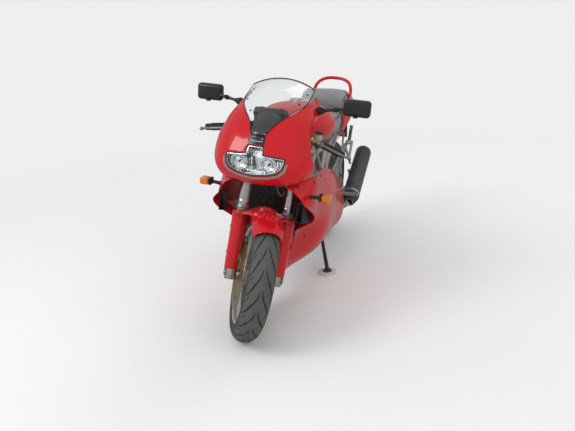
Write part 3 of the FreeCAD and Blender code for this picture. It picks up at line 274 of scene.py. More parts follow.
def turned(outline, centre, axis, steps=48):
    """Turned piece through (radius, along) corners in millimetres. A closed outline makes a ring."""
    ring = outline[0] == outline[-1]
    put_down()
    radius, place = outline[0]
    bpy.ops.mesh.primitive_circle_add(vertices=steps, radius=radius / 1000, fill_type="NOTHING",
                                      location=(0, 0, place / 1000))
    piece = fixed(bpy.context.object)
    with editing():
        for (r0, a0), (r1, a1) in zip(outline, outline[1:]):
            bpy.ops.mesh.extrude_edges_move(TRANSFORM_OT_translate={"value": (0, 0, (a1 - a0) / 1000)})
            bpy.ops.transform.resize(value=(r1 / r0, r1 / r0, 1), center_override=(0, 0, a1 / 1000))
        bpy.ops.mesh.select_all(action="SELECT")
        if ring:
            bpy.ops.mesh.remove_doubles(threshold=MERGED)
        else:
            bpy.ops.mesh.fill_holes(sides=0)
        pointed_out()
    piece.matrix_world = facing(centre, axis)
    return fixed(piece)


def tube(points, radius, sides=4, tips=None, fine=8):
    """Bent tube or cable, smooth through its points. tips narrows it at both ends."""
    data = bpy.data.curves.new("tube", "CURVE")
    data.dimensions = "3D"
    data.bevel_depth, data.bevel_resolution, data.use_fill_caps = radius, sides, True
    data.resolution_u = fine
    line = data.splines.new("BEZIER")
    line.bezier_points.add(len(points) - 1)
    for knot, point in zip(line.bezier_points, points):
        knot.co = point
        knot.handle_left_type = knot.handle_right_type = "AUTO"
    if tips is not None:
        line.bezier_points[0].radius = line.bezier_points[-1].radius = tips
    only(linked("tube", data))
    bpy.ops.object.convert(target="MESH")
    with editing():
        bpy.ops.mesh.remove_doubles(threshold=MERGED)
        pointed_out()
    return bpy.context.object


def ringed(piece, count, centre, axis):
    """Repeats a piece round an axis."""
    guide = linked("guide", None)
    spin = Matrix.Rotation(math.tau / count, 4, axis)
    guide.matrix_world = Matrix.Translation(centre) @ spin @ Matrix.Translation(-centre)
    bpy.context.view_layer.update()
    modified(piece, "ARRAY", count=count, use_relative_offset=False, use_object_offset=True,
             offset_object=guide)
    bpy.data.objects.remove(guide)
    return piece


def stacked(piece, count, step):
    """Repeats a piece upwards."""
    return modified(piece, "ARRAY", count=count, use_relative_offset=False, use_constant_offset=True,
                    constant_offset_displace=(0, 0, step))


def cut(piece, *tools):
    """Cuts the tools out of a piece."""
    for tool in tools:
        modified(piece, "BOOLEAN", operation="DIFFERENCE", solver="EXACT", object=tool)
        bpy.data.objects.remove(tool)
    return piece


def kept_within(piece, tool):
    modified(piece, "BOOLEAN", operation="INTERSECT", solver="EXACT", object=tool)
    bpy.data.objects.remove(tool)
    return piece


def prism(outline, low, high, across=False):
    """Plate with (y, z) corners drawn out along X, or with (x, z) corners drawn out along Y."""
    put_down()
    bpy.ops.mesh.primitive_circle_add(vertices=len(outline), fill_type="NGON")
    piece = bpy.context.object
    for corner, (a, z) in zip(piece.data.vertices, outline):
        corner.co = at(a, low, z) if across else at(low, a, z)
    run = at(0, high - low, 0) if across else at(high - low, 0, 0)
    with editing():
        bpy.ops.mesh.extrude_region_move(TRANSFORM_OT_translate={"value": run})
        pointed_out()
    return piece


def from_cad(node, body="chassis"):
    """Merged copy of a CAD node, set back on the upright bike."""
    piece = copied(frame["nodes"][node])
    piece.matrix_world = place_of(body).inverted()
    fixed(piece)
    with editing():
        bpy.ops.mesh.customdata_custom_splitnormals_clear()
        bpy.ops.mesh.remove_doubles(threshold=2e-5)
        bpy.ops.mesh.dissolve_limited(angle_limit=math.radians(0.15))
    return piece


def settled(piece, name, slot, finish, angle=32, replaces=(), body="chassis"):
    """Sets a finished piece down on the parked bike, with its finish, riding on its body."""
    only(piece)
    bpy.ops.object.shade_smooth_by_angle(angle=math.radians(angle))
    piece.matrix_world = place_of(body) @ piece.matrix_world
    fixed(piece)
    piece.name = piece.data.name = name
    piece.data.materials.clear()
    piece.data.materials.append(finish)
    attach(piece, body)
    if replaces:
        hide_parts(*replaces)


def bolt(point, out, radius=0.005, height=0.004, cap=True):
    """Socket or hexagon bolt head that stands on a face."""
    out = out.normalized()
    head = rod(point - out * 0.001, point + out * height, radius, sides=20 if cap else 6, soft=radius * 0.16)
    if not cap:
        washer = rod(point - out * 0.001, point + out * 0.001, radius * 1.45, sides=20)
        return joined([head, washer])
    socket = rod(point + out * height * 0.35, point + out * (height + 0.002), radius * 0.52, sides=6)
    return cut(head, socket)


def on_skin(node, point, body="chassis"):
    """Nearest place on a CAD node's surface to a point, and the way out of it."""
    source = frame["nodes"][node]
    skin = BVHTree.FromPolygons([source.matrix_world @ vertex.co for vertex in source.data.vertices],
                                [face.vertices for face in source.data.polygons])
    place = place_of(body)
    spot, out, _, _ = skin.find_nearest(place @ point)
    back = place.inverted()
    return back @ spot, (back.to_3x3() @ out).normalized()


# Finishes

def added(tree, kind, inputs=None, **values):
    node = tree.nodes.new(kind)
    for key, value in values.items():
        setattr(node, key, value)
    for key, value in (inputs or {}).items():
        if isinstance(value, bpy.types.NodeSocket):
            tree.links.new(value, node.inputs[key])
        else:
            node.inputs[key].default_value = value
    return node


def shade(tone, factor):
    return tuple(min(1.0, c * factor) for c in tone[:3]) + (1.0,)


def cloud(tree, scale, detail=5.0, rough=0.55, place=None):
    place = place or added(tree, "ShaderNodeTexCoord").outputs["Object"]
    return added(tree, "ShaderNodeTexNoise", {"Vector": place, "Scale": scale, "Detail": detail,
                                              "Roughness": rough}).outputs[0]


def spread(tree, value, low, high, to_low=0.0, to_high=1.0):
    return added(tree, "ShaderNodeMapRange", {"Value": value, "From Min": low, "From Max": high,
                                              "To Min": to_low, "To Max": to_high}).outputs[0]


def blended(tree, factor, a, b):
    return added(tree, "ShaderNodeMix", {0: factor, 6: a, 7: b}, data_type="RGBA").outputs[2]


def times(tree, a, b, operation="MULTIPLY"):
    return added(tree, "ShaderNodeMath", {0: a, 1: b}, operation=operation).outputs[0]


def finish(name, tone, rough=0.4, metal=0.0, mottle=0.12, patch=9.0, grain=700.0, depth=0.00004,
           dust=0.15, dust_tone=(0.30, 0.26, 0.20), worn=0.0, worn_tone=None, rough_spread=0.08, more=None,
           **sockets):
    """A surface with clouded colour, fine grain, settled dust and, if worn, bare edges."""
    found = bpy.data.materials.get(name)
    if found:
        return found
    material = bpy.data.materials.new(name)
    material.use_nodes = True
    tree = material.node_tree
    shader = tree.nodes["Principled BSDF"]
    shader.inputs["Metallic"].default_value = metal
    for key, value in sockets.items():
        shader.inputs[key.replace("_", " ")].default_value = value
    place = added(tree, "ShaderNodeTexCoord").outputs["Object"]
    patches = cloud(tree, patch, 6.0, 0.6, place)
    base = blended(tree, spread(tree, patches, 0.3, 0.7), shade(tone, 1 - mottle), shade(tone, 1 + mottle))
    height = cloud(tree, grain, 3.0, 0.6, place)
    if more:
        base, height = more(tree, place, base, height)
    settled_dust = cloud(tree, 3.5, 9.0, 0.72, place)
    if dust:
        up = added(tree, "ShaderNodeSeparateXYZ", {"Vector": place}).outputs[2]
        low = spread(tree, up, 0.05, 1.0, 1.0, 0.35)
        film = times(tree, spread(tree, settled_dust, 0.45, 0.72, 0.0, dust), low)
        base = blended(tree, film, base, shade(dust_tone, 1.0))
    if worn:
        edge = added(tree, "ShaderNodeNewGeometry").outputs["Pointiness"]
        bare = times(tree, spread(tree, edge, 0.52, 0.60, 0.0, worn),
                     spread(tree, cloud(tree, 60.0, 4.0, 0.6, place), 0.35, 0.6))
        base = blended(tree, bare, base, shade(worn_tone or (0.6, 0.6, 0.6), 1.0))
    tree.links.new(base, shader.inputs["Base Color"])
    tree.links.new(spread(tree, settled_dust, 0.3, 0.7, max(0.02, rough - rough_spread),
                          rough + rough_spread), shader.inputs["Roughness"])
    bump = added(tree, "ShaderNodeBump", {"Height": height, "Strength": 1.0, "Distance": depth})
    tree.links.new(bump.outputs[0], shader.inputs["Normal"])
    return material


def settings():
    return bpy.context.scene.bike_paint


def body_paint():
    """Gloss coat, with a painted reflection of the ground low down towards the rear, a slight ripple and a
    little road film.
    """
    def painted_ground_reflection(tree, place, base, height):
        parts = added(tree, "ShaderNodeSeparateXYZ", {"Vector": place}).outputs
        # Painted reflection of the ground: the paint turns orange-red low down towards the rear, in soft
        # waves.
        rear = spread(tree, parts[0], 0.42, 0.02)
        low = spread(tree, parts[2], 0.72, 0.58)
        wavy = spread(tree, cloud(tree, 2.4, 3.0, 0.5, place), 0.3, 0.7, 0.6, 1.0)
        share = times(tree, times(tree, rear, low), wavy)
        return blended(tree, share, base, shade(tuple(settings().painted_ground_reflection), 1.0)), height
    return finish("body paint", tuple(settings().body), rough=0.24, mottle=0.06, patch=4.0, grain=85.0,
                  depth=0.00003, dust=0.05, dust_tone=(0.30, 0.08, 0.05), rough_spread=0.05, more=painted_ground_reflection,
                  Coat_Weight=0.6, Coat_Roughness=0.05, IOR=1.35)


def frame_paint():
    return finish("frame paint", tuple(settings().frame), rough=0.36, metal=0.55, grain=420.0, depth=0.00005,
                  dust=0.3, worn=0.3, Coat_Weight=0.25, Coat_Roughness=0.2)


def cast_alloy():
    return finish("cast alloy", (0.36, 0.355, 0.345), rough=0.48, metal=0.85, mottle=0.18, patch=14.0,
                  grain=950.0, depth=0.00012, dust=0.42, dust_tone=(0.20, 0.17, 0.13), worn=0.4)


def black_alloy():
    return finish("black alloy", (0.022, 0.022, 0.024), rough=0.42, metal=0.35, grain=900.0, depth=0.00006,
                  dust=0.25, worn=0.25, worn_tone=(0.4, 0.4, 0.4))


def bright_alloy():
    return finish("bright alloy", (0.74, 0.735, 0.72), rough=0.22, metal=1.0, mottle=0.06, grain=1500.0,
                  depth=0.00002, dust=0.12, rough_spread=0.10)


def fork_alloy():
    return finish("fork alloy", (0.68, 0.675, 0.66), rough=0.26, metal=1.0, mottle=0.07, grain=620.0,
                  depth=0.00003, dust=0.2, rough_spread=0.10)


def wheel_silver():
    return finish("wheel silver", (0.62, 0.61, 0.58), rough=0.33, metal=0.75, grain=520.0, depth=0.00005,
                  dust=0.35, dust_tone=(0.22, 0.18, 0.12), Coat_Weight=0.35, Coat_Roughness=0.12)


def gold_alloy():
    return finish("gold alloy", tuple(settings().gold), rough=0.34, metal=0.95, grain=800.0, depth=0.00005,
                  dust=0.3, dust_tone=(0.18, 0.14, 0.09))


def ground_rings(centre, turn):
    """Fine circular grinding marks about a wheel's axle, for brake discs."""
    def rings(tree, place, base, height):
        flat = added(tree, "ShaderNodeMapping", {"Vector": place, "Location": centre, "Rotation": turn},
                     vector_type="TEXTURE").outputs[0]
        lines = added(tree, "ShaderNodeTexWave", {"Vector": flat, "Scale": 420.0, "Distortion": 1.2,
                                                  "Detail": 3.0, "Detail Scale": 0.4},
                      wave_type="RINGS", rings_direction="Z").outputs[1]
        base = blended(tree, spread(tree, lines, 0.2, 0.8, 0.0, 0.35), base, (0.30, 0.29, 0.28, 1))
        return base, lines
    return rings


def disc_steel(which, axle, body):
    place = place_of(body) @ facing(axle, LEFT)
    return finish("disc steel " + which, (0.56, 0.555, 0.54), rough=0.26, metal=1.0, mottle=0.1,
                  depth=0.00003, dust=0.15, dust_tone=(0.30, 0.20, 0.12),
                  more=ground_rings(place.translation, place.to_euler()))


def black_plastic():
    """Moulded plastic with a fine pebbled grain."""
    def pebbles(tree, place, base, height):
        cells = added(tree, "ShaderNodeTexVoronoi", {"Vector": place, "Scale": 850.0}).outputs[0]
        return base, cells
    return finish("black plastic", (0.018, 0.018, 0.020), rough=0.46, mottle=0.2, depth=0.00007, dust=0.22,
                  more=pebbles)


def mirror_shell_black():
    return finish("mirror shell", (0.016, 0.017, 0.019), rough=0.30, mottle=0.2, grain=1400.0, depth=0.00003,
                  dust=0.18, Coat_Weight=0.3, Coat_Roughness=0.22)


def soft_rubber():
    return finish("soft rubber", (0.014, 0.014, 0.015), rough=0.62, mottle=0.25, grain=1100.0, depth=0.00008,
                  dust=0.3)


def seat_cover():
    """Matt coated cover with a leather grain, painted shade along the grain's creases, and paler rubbed
    places.
    """
    def leather(tree, place, base, height):
        cells = added(tree, "ShaderNodeTexVoronoi", {"Vector": place, "Scale": 330.0, "Randomness": 1.0},
                      feature="DISTANCE_TO_EDGE").outputs[0]
        creases = spread(tree, cells, 0.0, 0.12)
        rubbed = spread(tree, cloud(tree, 5.0, 3.0, 0.5, place), 0.45, 0.7, 0.0, 0.5)
        base = blended(tree, rubbed, base, shade(tuple(settings().seat), 1.45))
        # Painted shade: the cover darkens along the grain's sunk crease lines.
        base = blended(tree, spread(tree, cells, 0.0, 0.06, 0.35, 0.0), base, (0.03, 0.03, 0.032, 1))
        return base, times(tree, creases, times(tree, height, 0.5, "ADD"))
    return finish("seat cover", tuple(settings().seat), rough=0.62, mottle=0.08, grain=120.0, depth=0.00028,
                  dust=0.25, dust_tone=(0.25, 0.24, 0.22), more=leather, Sheen_Weight=0.2,
                  Sheen_Roughness=0.5)


def muffler_coat():
    return finish("muffler coat", tuple(settings().muffler), rough=0.36, metal=0.35, mottle=0.14,
                  grain=1500.0, depth=0.00005, dust=0.25, worn=0.2, Coat_Weight=0.15, Coat_Roughness=0.3)


def heated_steel():
    """Brushed steel with straw and blue bands where the gas has coloured it."""
    def bands(tree, place, base, height):
        heat = cloud(tree, 7.0, 2.0, 0.4, place)
        base = blended(tree, spread(tree, heat, 0.48, 0.62, 0.0, 0.55), base, (0.52, 0.38, 0.20, 1))
        base = blended(tree, spread(tree, heat, 0.60, 0.72, 0.0, 0.5), base, (0.20, 0.23, 0.34, 1))
        return base, height
    return finish("heated steel", (0.62, 0.60, 0.56), rough=0.28, metal=1.0, mottle=0.1, grain=900.0,
                  depth=0.00005, dust=0.2, more=bands)


def chain_steel():
    return finish("chain steel", (0.17, 0.15, 0.12), rough=0.38, metal=0.85, mottle=0.3, patch=40.0,
                  dust=0.35, dust_tone=(0.10, 0.08, 0.06), grain=900.0, depth=0.0001)


def stand_paint():
    return finish("stand paint", (0.020, 0.020, 0.021), rough=0.40, grain=600.0, depth=0.00006, dust=0.4,
                  worn=0.5, worn_tone=(0.35, 0.32, 0.3))


def pad_plastic():
    return finish("pad plastic", (0.66, 0.62, 0.54), rough=0.55, mottle=0.12, grain=800.0, depth=0.0001,
                  dust=0.4, dust_tone=(0.36, 0.30, 0.20))


def spring_paint():
    return finish("spring paint", (0.70, 0.70, 0.69), rough=0.34, mottle=0.06, dust=0.35, worn=0.2,
                  Coat_Weight=0.4)


def brass():
    return finish("pale brass", (0.62, 0.53, 0.33), rough=0.30, metal=0.95, mottle=0.1, grain=900.0,
                  depth=0.00005, dust=0.15)


def mirror_glass():
    return finish("mirror glass", (0.82, 0.84, 0.85), rough=0.03, metal=1.0, mottle=0.02, dust=0.06,
                  rough_spread=0.015, depth=0.000002)


def reflector():
    """Bright bowl with the soft ripple of pressed, lacquered metal."""
    return finish("reflector", (0.88, 0.88, 0.87), rough=0.10, metal=1.0, mottle=0.05, grain=34.0,
                  depth=0.0012, dust=0.05, rough_spread=0.05)


def clear_glass(name="screen plastic", tone=(0.93, 0.96, 0.97), rough=0.02, ribs=0.0):
    """Clear moulding, ribbed up and down where ribs is set."""
    def ribbed(tree, place, base, height):
        waves = added(tree, "ShaderNodeTexWave", {"Vector": place, "Scale": 38.0, "Distortion": 0.15},
                      bands_direction="Y", wave_profile="SIN").outputs[1]
        return base, waves
    return finish(name, tone, rough=rough, mottle=0.01, patch=3.0, grain=30.0,
                  depth=ribs or 0.00001, dust=0.03, dust_tone=(0.5, 0.48, 0.42), rough_spread=0.012,
                  more=ribbed if ribs else None, Transmission_Weight=1.0, IOR=1.45 if ribs else 1.33)


def tinted_lens(name, tone):
    """Moulded coloured lens with fine prisms inside."""
    def prisms(tree, place, base, height):
        cells = added(tree, "ShaderNodeTexVoronoi", {"Vector": place, "Scale": 240.0, "Randomness": 0.1},
                      distance="CHEBYCHEV").outputs[0]
        return base, cells
    return finish(name, tone, rough=0.14, mottle=0.12, patch=30.0, depth=0.0006, dust=0.08, rough_spread=0.05,
                  more=prisms, Transmission_Weight=0.35, IOR=1.49, Coat_Weight=1.0, Coat_Roughness=0.05)


def tread_rubber(which):
    """Worn tread, with painted shade in the grooves, darker walls, dust and fine lines across the tread."""
    def worn_tread_and_groove_shade(tree, place, base, height):
        where = added(tree, "ShaderNodeAttribute", attribute_name="tread").outputs["Vector"]
        parts = added(tree, "ShaderNodeSeparateXYZ", {"Vector": where}).outputs
        lines = added(tree, "ShaderNodeTexWave", {"Vector": where, "Scale": 0.045, "Distortion": 2.0,
                                                  "Detail": 2.0}, bands_direction="X").outputs[1]
        streaks = cloud(tree, 26.0, 8.0, 0.7, place)
        side = spread(tree, added(tree, "ShaderNodeMath", {0: parts[1]}, operation="ABSOLUTE").outputs[0],
                      0.72, 0.86)
        base = blended(tree, spread(tree, streaks, 0.35, 0.65, 0.0, 0.55), base, (0.105, 0.098, 0.088, 1))
        smooth = (0.030, 0.030, 0.032, 1)
        base = blended(tree, times(tree, spread(tree, lines, 0.50, 0.85), 0.6), base, smooth)
        base = blended(tree, side, base, smooth)
        # Painted shade: the rubber is darker the deeper a point lies in a groove.
        base = blended(tree, spread(tree, parts[2], 0.05, 0.4), base, (0.012, 0.012, 0.012, 1))
        return base, times(tree, times(tree, lines, 0.6), times(tree, height, 0.4), "ADD")
    return finish("tread rubber " + which, (0.092, 0.088, 0.084), rough=0.72, mottle=0.14, patch=14.0,
                  grain=500.0, depth=0.0003, dust=0.3, dust_tone=(0.17, 0.145, 0.11), more=worn_tread_and_groove_shade)


# Pieces

# What the camera sees behind the bike, and how much of it the paint and metal mirror
BACKDROP = (0.86, 0.86, 0.855, 1)
MIRRORED = 0.32

class Maker:
    """A step that makes pieces, and stops the script where it can't."""
    bl_options = {"REGISTER", "UNDO"}

    def execute(self, context):
        self.make(context.scene)
        return {"FINISHED"}


def reflected(tree):
    """One for a ray that a surface mirrors, nought for one that passes through glass."""
    rays = added(tree, "ShaderNodeLightPath").outputs
    through = added(tree, "ShaderNodeMath", {0: 1.0, 1: rays["Is Transmission Ray"]}, operation="SUBTRACT")
    return times(tree, rays["Is Glossy Ray"], through.outputs[0])


class BIKE_OT_stage(Maker, bpy.types.Operator):
    """Sets the pale floor, the soft lamps, the even sky and the camera."""
    bl_idname = "bike.stage"
    bl_label = "Floor, lamps and camera"

    def make(self, scene):
        view = scene.bike_view
        scene.view_settings.view_transform = "Standard"
        put_down()
        bpy.ops.mesh.primitive_plane_add(size=60)
        floor = bpy.context.object
        floor.name = "floor"
        floor.data.materials.append(self.floor_finish(tuple(view.ground)))
        self.sky(scene, view.sky)
        for name, place, power, size in (
            ("key lamp", (3.4, -3.2, 4.2), view.lamp, 2.6),
            ("fill lamp", (2.6, 4.2, 2.6), view.lamp * 0.30, 3.2),
            ("back lamp", (-3.6, 1.5, 4.4), view.lamp * 0.45, 2.6),
        ):
            bpy.ops.object.light_add(type="AREA", location=place)
            lamp = bpy.context.object
            lamp.name = name
            lamp.data.energy, lamp.data.size = power, size
            lamp.rotation_euler = (Vector((0, 0, 0.5)) - lamp.location).to_track_quat("-Z", "Y").to_euler()
            lamp.visible_glossy = name == "key lamp"
        rear = PARKED @ REAR_AXLE
        bpy.ops.object.camera_add(location=Vector((rear.x, rear.y, 0)) + Vector(view.place),
                                  rotation=view.turn)
        camera = bpy.context.object
        camera.name = "camera"
        camera.data.sensor_fit, camera.data.sensor_width = "HORIZONTAL", 36
        camera.data.lens = view.lens
        camera.data.clip_end = 200
        scene.camera = camera

    def floor_finish(self, tone):
        """Pale floor, shown white behind the object, that keeps the object's shadow."""
        material = bpy.data.materials.new("pale floor")
        material.use_nodes = True
        tree = material.node_tree
        shader = tree.nodes["Principled BSDF"]
        shader.inputs["Roughness"].default_value = 0.9
        shader.inputs["Specular IOR Level"].default_value = 0.1
        place = added(tree, "ShaderNodeTexCoord").outputs["Object"]
        mottled = blended(tree, cloud(tree, 1.5, 3.0, 0.5, place), shade(tone, 0.98), shade(tone, 1.02))
        tree.links.new(mottled, shader.inputs["Base Color"])
        away = added(tree, "ShaderNodeVectorMath", {0: place}, operation="LENGTH").outputs["Value"]
        beyond = added(tree, "ShaderNodeEmission", {"Color": BACKDROP, "Strength": 1.0})
        faded = added(tree, "ShaderNodeMixShader", {0: spread(tree, away, 1.6, 4.5), 1: shader.outputs[0],
                                                    2: beyond.outputs[0]})
        mirrored = added(tree, "ShaderNodeEmission", {"Color": BACKDROP, "Strength": MIRRORED})
        shown = added(tree, "ShaderNodeMixShader", {0: reflected(tree), 1: faded.outputs[0],
                                                    2: mirrored.outputs[0]})
        tree.links.new(shown.outputs[0], tree.nodes["Material Output"].inputs["Surface"])
        return material

    def sky(self, scene, strength):
        world = scene.world or bpy.data.worlds.new("sky")
        scene.world = world
        world.use_nodes = True
        tree = world.node_tree
        tree.nodes.clear()
        rays = added(tree, "ShaderNodeLightPath").outputs
        even = added(tree, "ShaderNodeBackground", {"Color": (0.97, 0.985, 1.0, 1), "Strength": strength})
        seen = added(tree, "ShaderNodeBackground", {"Color": BACKDROP, "Strength": 1.0})
        shown = times(tree, rays["Is Camera Ray"], rays["Is Transmission Ray"], "MAXIMUM")
        light = added(tree, "ShaderNodeMixShader", {0: shown, 1: even.outputs[0], 2: seen.outputs[0]})
        mirrored = added(tree, "ShaderNodeBackground", {"Color": BACKDROP, "Strength": MIRRORED * 1.5})
        light = added(tree, "ShaderNodeMixShader", {0: reflected(tree), 1: light.outputs[0],
                                                    2: mirrored.outputs[0]})
        added(tree, "ShaderNodeOutputWorld", {"Surface": light.outputs[0]})


PAINTED = (
    ("upper_cowl", "chassis"), ("side_cowl_left", "chassis"), ("side_cowl_right", "chassis"),
    ("fuel_tank", "chassis"), ("tail_cowl", "chassis"), ("front_mudguard", "steering"),
)


class BIKE_OT_panels(Maker, bpy.types.Operator):
    """Softens the edges of the painted panels and gives them their gloss coat."""
    bl_idname = "bike.panels"
    bl_label = "Painted panels"

    def make(self, scene):
        for node, body in PAINTED:
            panel = softened(from_cad(node, body), scene.bike_paint.soft_edge, 2, 50)
            settled(panel, node + "_skin", "red_paint", body_paint(), 28, [node], body=body)


# node, body, the record's slot, finish, edge radius in millimetres
CAST_AND_MOULDED = (
    ("frame_trellis", "chassis", "frame_silver", frame_paint, 1.2),
    ("seat_subframe", "chassis", "frame_silver", frame_paint, 0.8),
    ("engine_crankcase", "chassis", "cast_alloy", cast_alloy, 2.5),
    ("engine_cylinders", "chassis", "cast_alloy", cast_alloy, 0.8),
    ("oil_cooler", "chassis", "black_alloy", black_alloy, 1.0),
    ("swingarm", "chassis", "bright_alloy", bright_alloy, 2.5),
    ("cockpit_panel", "chassis", "black_plastic", black_plastic, 0.6),
    ("instruments", "chassis", "black_plastic", black_plastic, 0.0),
    ("fairing_stay", "chassis", "black_alloy", black_alloy, 0.0),
    ("mirrors", "chassis", "black_plastic", mirror_shell_black, 0.0),
    ("intake_ducts", "chassis", "black_plastic", black_plastic, 0.8),
    ("footrest_left", "chassis", "bright_alloy", bright_alloy, 1.0),
    ("footrest_right", "chassis", "bright_alloy", bright_alloy, 1.0),
    ("rear_mudguard", "chassis", "black_plastic", black_plastic, 0.8),
    ("fork_legs", "steering", "fork_silver", fork_alloy, 1.0),
    ("front_axle", "steering", "bright_alloy", bright_alloy, 0.8),
    ("fork_yokes", "steering", "cast_alloy", cast_alloy, 1.5),
    ("clip_on_bars", "steering", "black_alloy", black_alloy, 0.8),
    ("front_calipers", "steering", "gold_alloy", gold_alloy, 1.0),
    ("front_rim", "front_wheel", "wheel_silver", wheel_silver, 1.5),
    ("rear_rim", "rear_wheel", "wheel_silver", wheel_silver, 1.5),
    ("stand_leg", "side_stand", "stand_black", stand_paint, 0.8),
    ("stand_pad", "side_stand", "pad_plastic", pad_plastic, 1.5),
)


class BIKE_OT_castings(Maker, bpy.types.Operator):
    """Rounds and finishes the castings, tubes and plain mouldings."""
    bl_idname = "bike.castings"
    bl_label = "Castings and mouldings"

    def make(self, scene):
        for node, body, slot, material, edge in CAST_AND_MOULDED:
            piece = from_cad(node, body)
            if edge:
                softened(piece, edge / 1000, 2, 40)
            settled(piece, node + "_finished", slot, material(), 32, [node], body=body)


TYRE_WALL = 9
# Each step of a tyre's wall: its share of the way from rim to tread, and how deep it lies
WALL_STEPS = ((0.90, 0.6), (0.86, 0.0), (0.60, 0.0), (0.56, 0.7), (0.2, 0.7), (0.14, 0.0), (0.0, 0.0))


def tyre_outline(radius, half):
    """Closed outline: rounded tread, walls with a raised band, beads, and the inside."""
    ring, crown, bead, rim = (radius - half) * 1000, half * 1000, half * 780, RIM_RADIUS * 1000

    def arc(size, degrees):
        return [(ring + size * math.cos(math.radians(a)), size * math.sin(math.radians(a))) for a in degrees]

    def wall(side):
        return [(rim + (ring - rim) * share, side * (bead + (crown - bead) * share - sunk))
                for share, sunk in WALL_STEPS]

    outer, inner = arc(crown, range(-90, 91, 9)), arc(crown - TYRE_WALL, range(90, -91, -20))
    inside = [(rim, bead - TYRE_WALL)] + inner + [(rim, TYRE_WALL - bead)]
    whole = wall(-1)[::-1] + outer + wall(1) + inside
    return whole + whole[:1]


def tread_point(axle, radius, half, turn, lean):
    ring = radius - half
    out = Vector((math.cos(turn), 0, math.sin(turn)))
    return axle + out * (ring + half * math.cos(lean)) + LEFT * half * math.sin(lean)


def groove(axle, radius, half, start, sweep, leans, width):
    """One tapering groove that sweeps out over the tread."""
    points = []
    for step in range(6):
        share = step / 5
        lean = math.radians(leans[0] + (leans[1] - leans[0]) * share ** 1.5)
        points.append(tread_point(axle, radius, half - 0.0006, start - sweep * share, lean))
    return tube(points, width, sides=1, tips=0.3, fine=3)


def mark_tread(piece, axle, radius, half, depth):
    """Stores the place round the tyre, across it, and below its surface, for the tread's finish; the depth
    below the surface drives the painted shade in the grooves.
    """
    marks = piece.data.attributes.new("tread", "FLOAT_VECTOR", "POINT")
    for vertex, mark in zip(piece.data.vertices, marks.data):
        away = vertex.co - axle
        out = math.hypot(away.x, away.z) - (radius - half)
        lean = math.atan2(away.y, out)
        sunk = (half - math.hypot(out, away.y)) / depth if abs(lean) < 1.35 else 0.0
        mark.vector = (math.atan2(away.z, away.x) * radius * 1000, lean / (math.pi / 2), max(0.0, sunk))


class BIKE_OT_tyres(Maker, bpy.types.Operator):
    """Moulds both tyres with walls, beads and swept tread grooves."""
    bl_idname = "bike.tyres"
    bl_label = "Tyres"

    def make(self, scene):
        sizes = scene.bike_tyres
        for name, body, axle, radius, half, pitches in (
            ("front_tyre", "front_wheel", FRONT_AXLE, FRONT_RADIUS, FRONT_HALF, sizes.front_pitches),
            ("rear_tyre", "rear_wheel", REAR_AXLE, REAR_RADIUS, REAR_HALF, sizes.rear_pitches),
        ):
            piece = turned(tyre_outline(radius, half), axle, LEFT, sizes.steps)
            pitch = math.tau / pitches
            for start, sweep, leans, width in (
                (0.0, math.radians(26), (4, 67), sizes.groove),
                (-0.62 * pitch, math.radians(15), (30, 70), sizes.groove * 0.9),
                (-0.30 * pitch, math.radians(8), (46, 70), sizes.groove * 0.7),
            ):
                left = groove(axle, radius, half, start, sweep, leans, width)
                right = groove(axle, radius, half, start - pitch * 0.12, sweep, (-leans[0], -leans[1]), width)
                piece = cut(piece, ringed(left, pitches, axle, LEFT), ringed(right, pitches, axle, LEFT))
            mark_tread(piece, axle, radius, half, sizes.groove)
            settled(piece, name + "_treaded", "tyre", tread_rubber(name), 30, [name], body=body)


class BIKE_OT_wheels(Maker, bpy.types.Operator):
    """Adds rim lips, valves, hub seals and axle nuts to the wheels."""
    bl_idname = "bike.wheels"
    bl_label = "Rim lips, valves and nuts"

    def make(self, scene):
        for name, body, axle, half, edge in (("front", "front_wheel", FRONT_AXLE, 46.8, 48.0),
                                             ("rear", "rear_wheel", REAR_AXLE, 63.2, 67.0)):
            lip = turned([(207, edge - 5), (207, edge), (211, edge + 1.2), (217, half + 2.4),
                          (223, half + 5.6), (224, half + 5.0), (223, half + 4.0), (216.2, half + 0.3),
                          (216.2, edge - 5), (207, edge - 5)], axle, LEFT, 128)
            settled(both_sides(lip), name + "_rim_lips", "wheel_silver", wheel_silver(), 35, body=body)
            valve = joined([rod(axle + at(0, 8, 196), axle + at(0, 14, 176), 0.0042, sides=12),
                            rod(axle + at(0, 14, 176), axle + at(0, 17, 166), 0.0050, sides=12, soft=0.001)])
            settled(valve, name + "_valve", "bright_alloy", soft_rubber(), body=body)
        seal = [(13, 57.5), (30, 57.5), (34, 59.5), (34, 61), (13, 61), (13, 57.5)]
        settled(both_sides(turned(seal, FRONT_AXLE, LEFT, 40)), "front_hub_seals", "black_plastic",
                soft_rubber(), body="front_wheel")
        nut = rod(REAR_AXLE + at(0, 152, 0), REAR_AXLE + at(0, 161, 0), 0.019, sides=6, soft=0.0012)
        washer = turned([(12, 149), (23, 149), (23, 152), (12, 152), (12, 149)], REAR_AXLE, LEFT, 32)
        settled(both_sides(joined([nut, washer])), "rear_axle_nuts", "bright_alloy", bright_alloy())


def rotor(axle, offset, radius, inner, rows, each):
    """Flat drilled rotor."""
    plate = turned([(inner, -2.5), (radius - 0.6, -2.5), (radius, -1.9), (radius, 1.9), (radius - 0.6, 2.5),
                    (inner, 2.5), (inner, -2.5)], axle + at(0, offset, 0), LEFT, 120)
    drills = []
    for row, out in enumerate(rows):
        turn = math.radians(row * 360.0 / each * 0.36)
        spot = axle + at(out * math.sin(turn), offset, out * math.cos(turn))
        drills.append(rod(spot - at(0, 6, 0), spot + at(0, 6, 0), 0.0032, sides=10))
    return cut(plate, ringed(joined(drills), each, axle, LEFT))


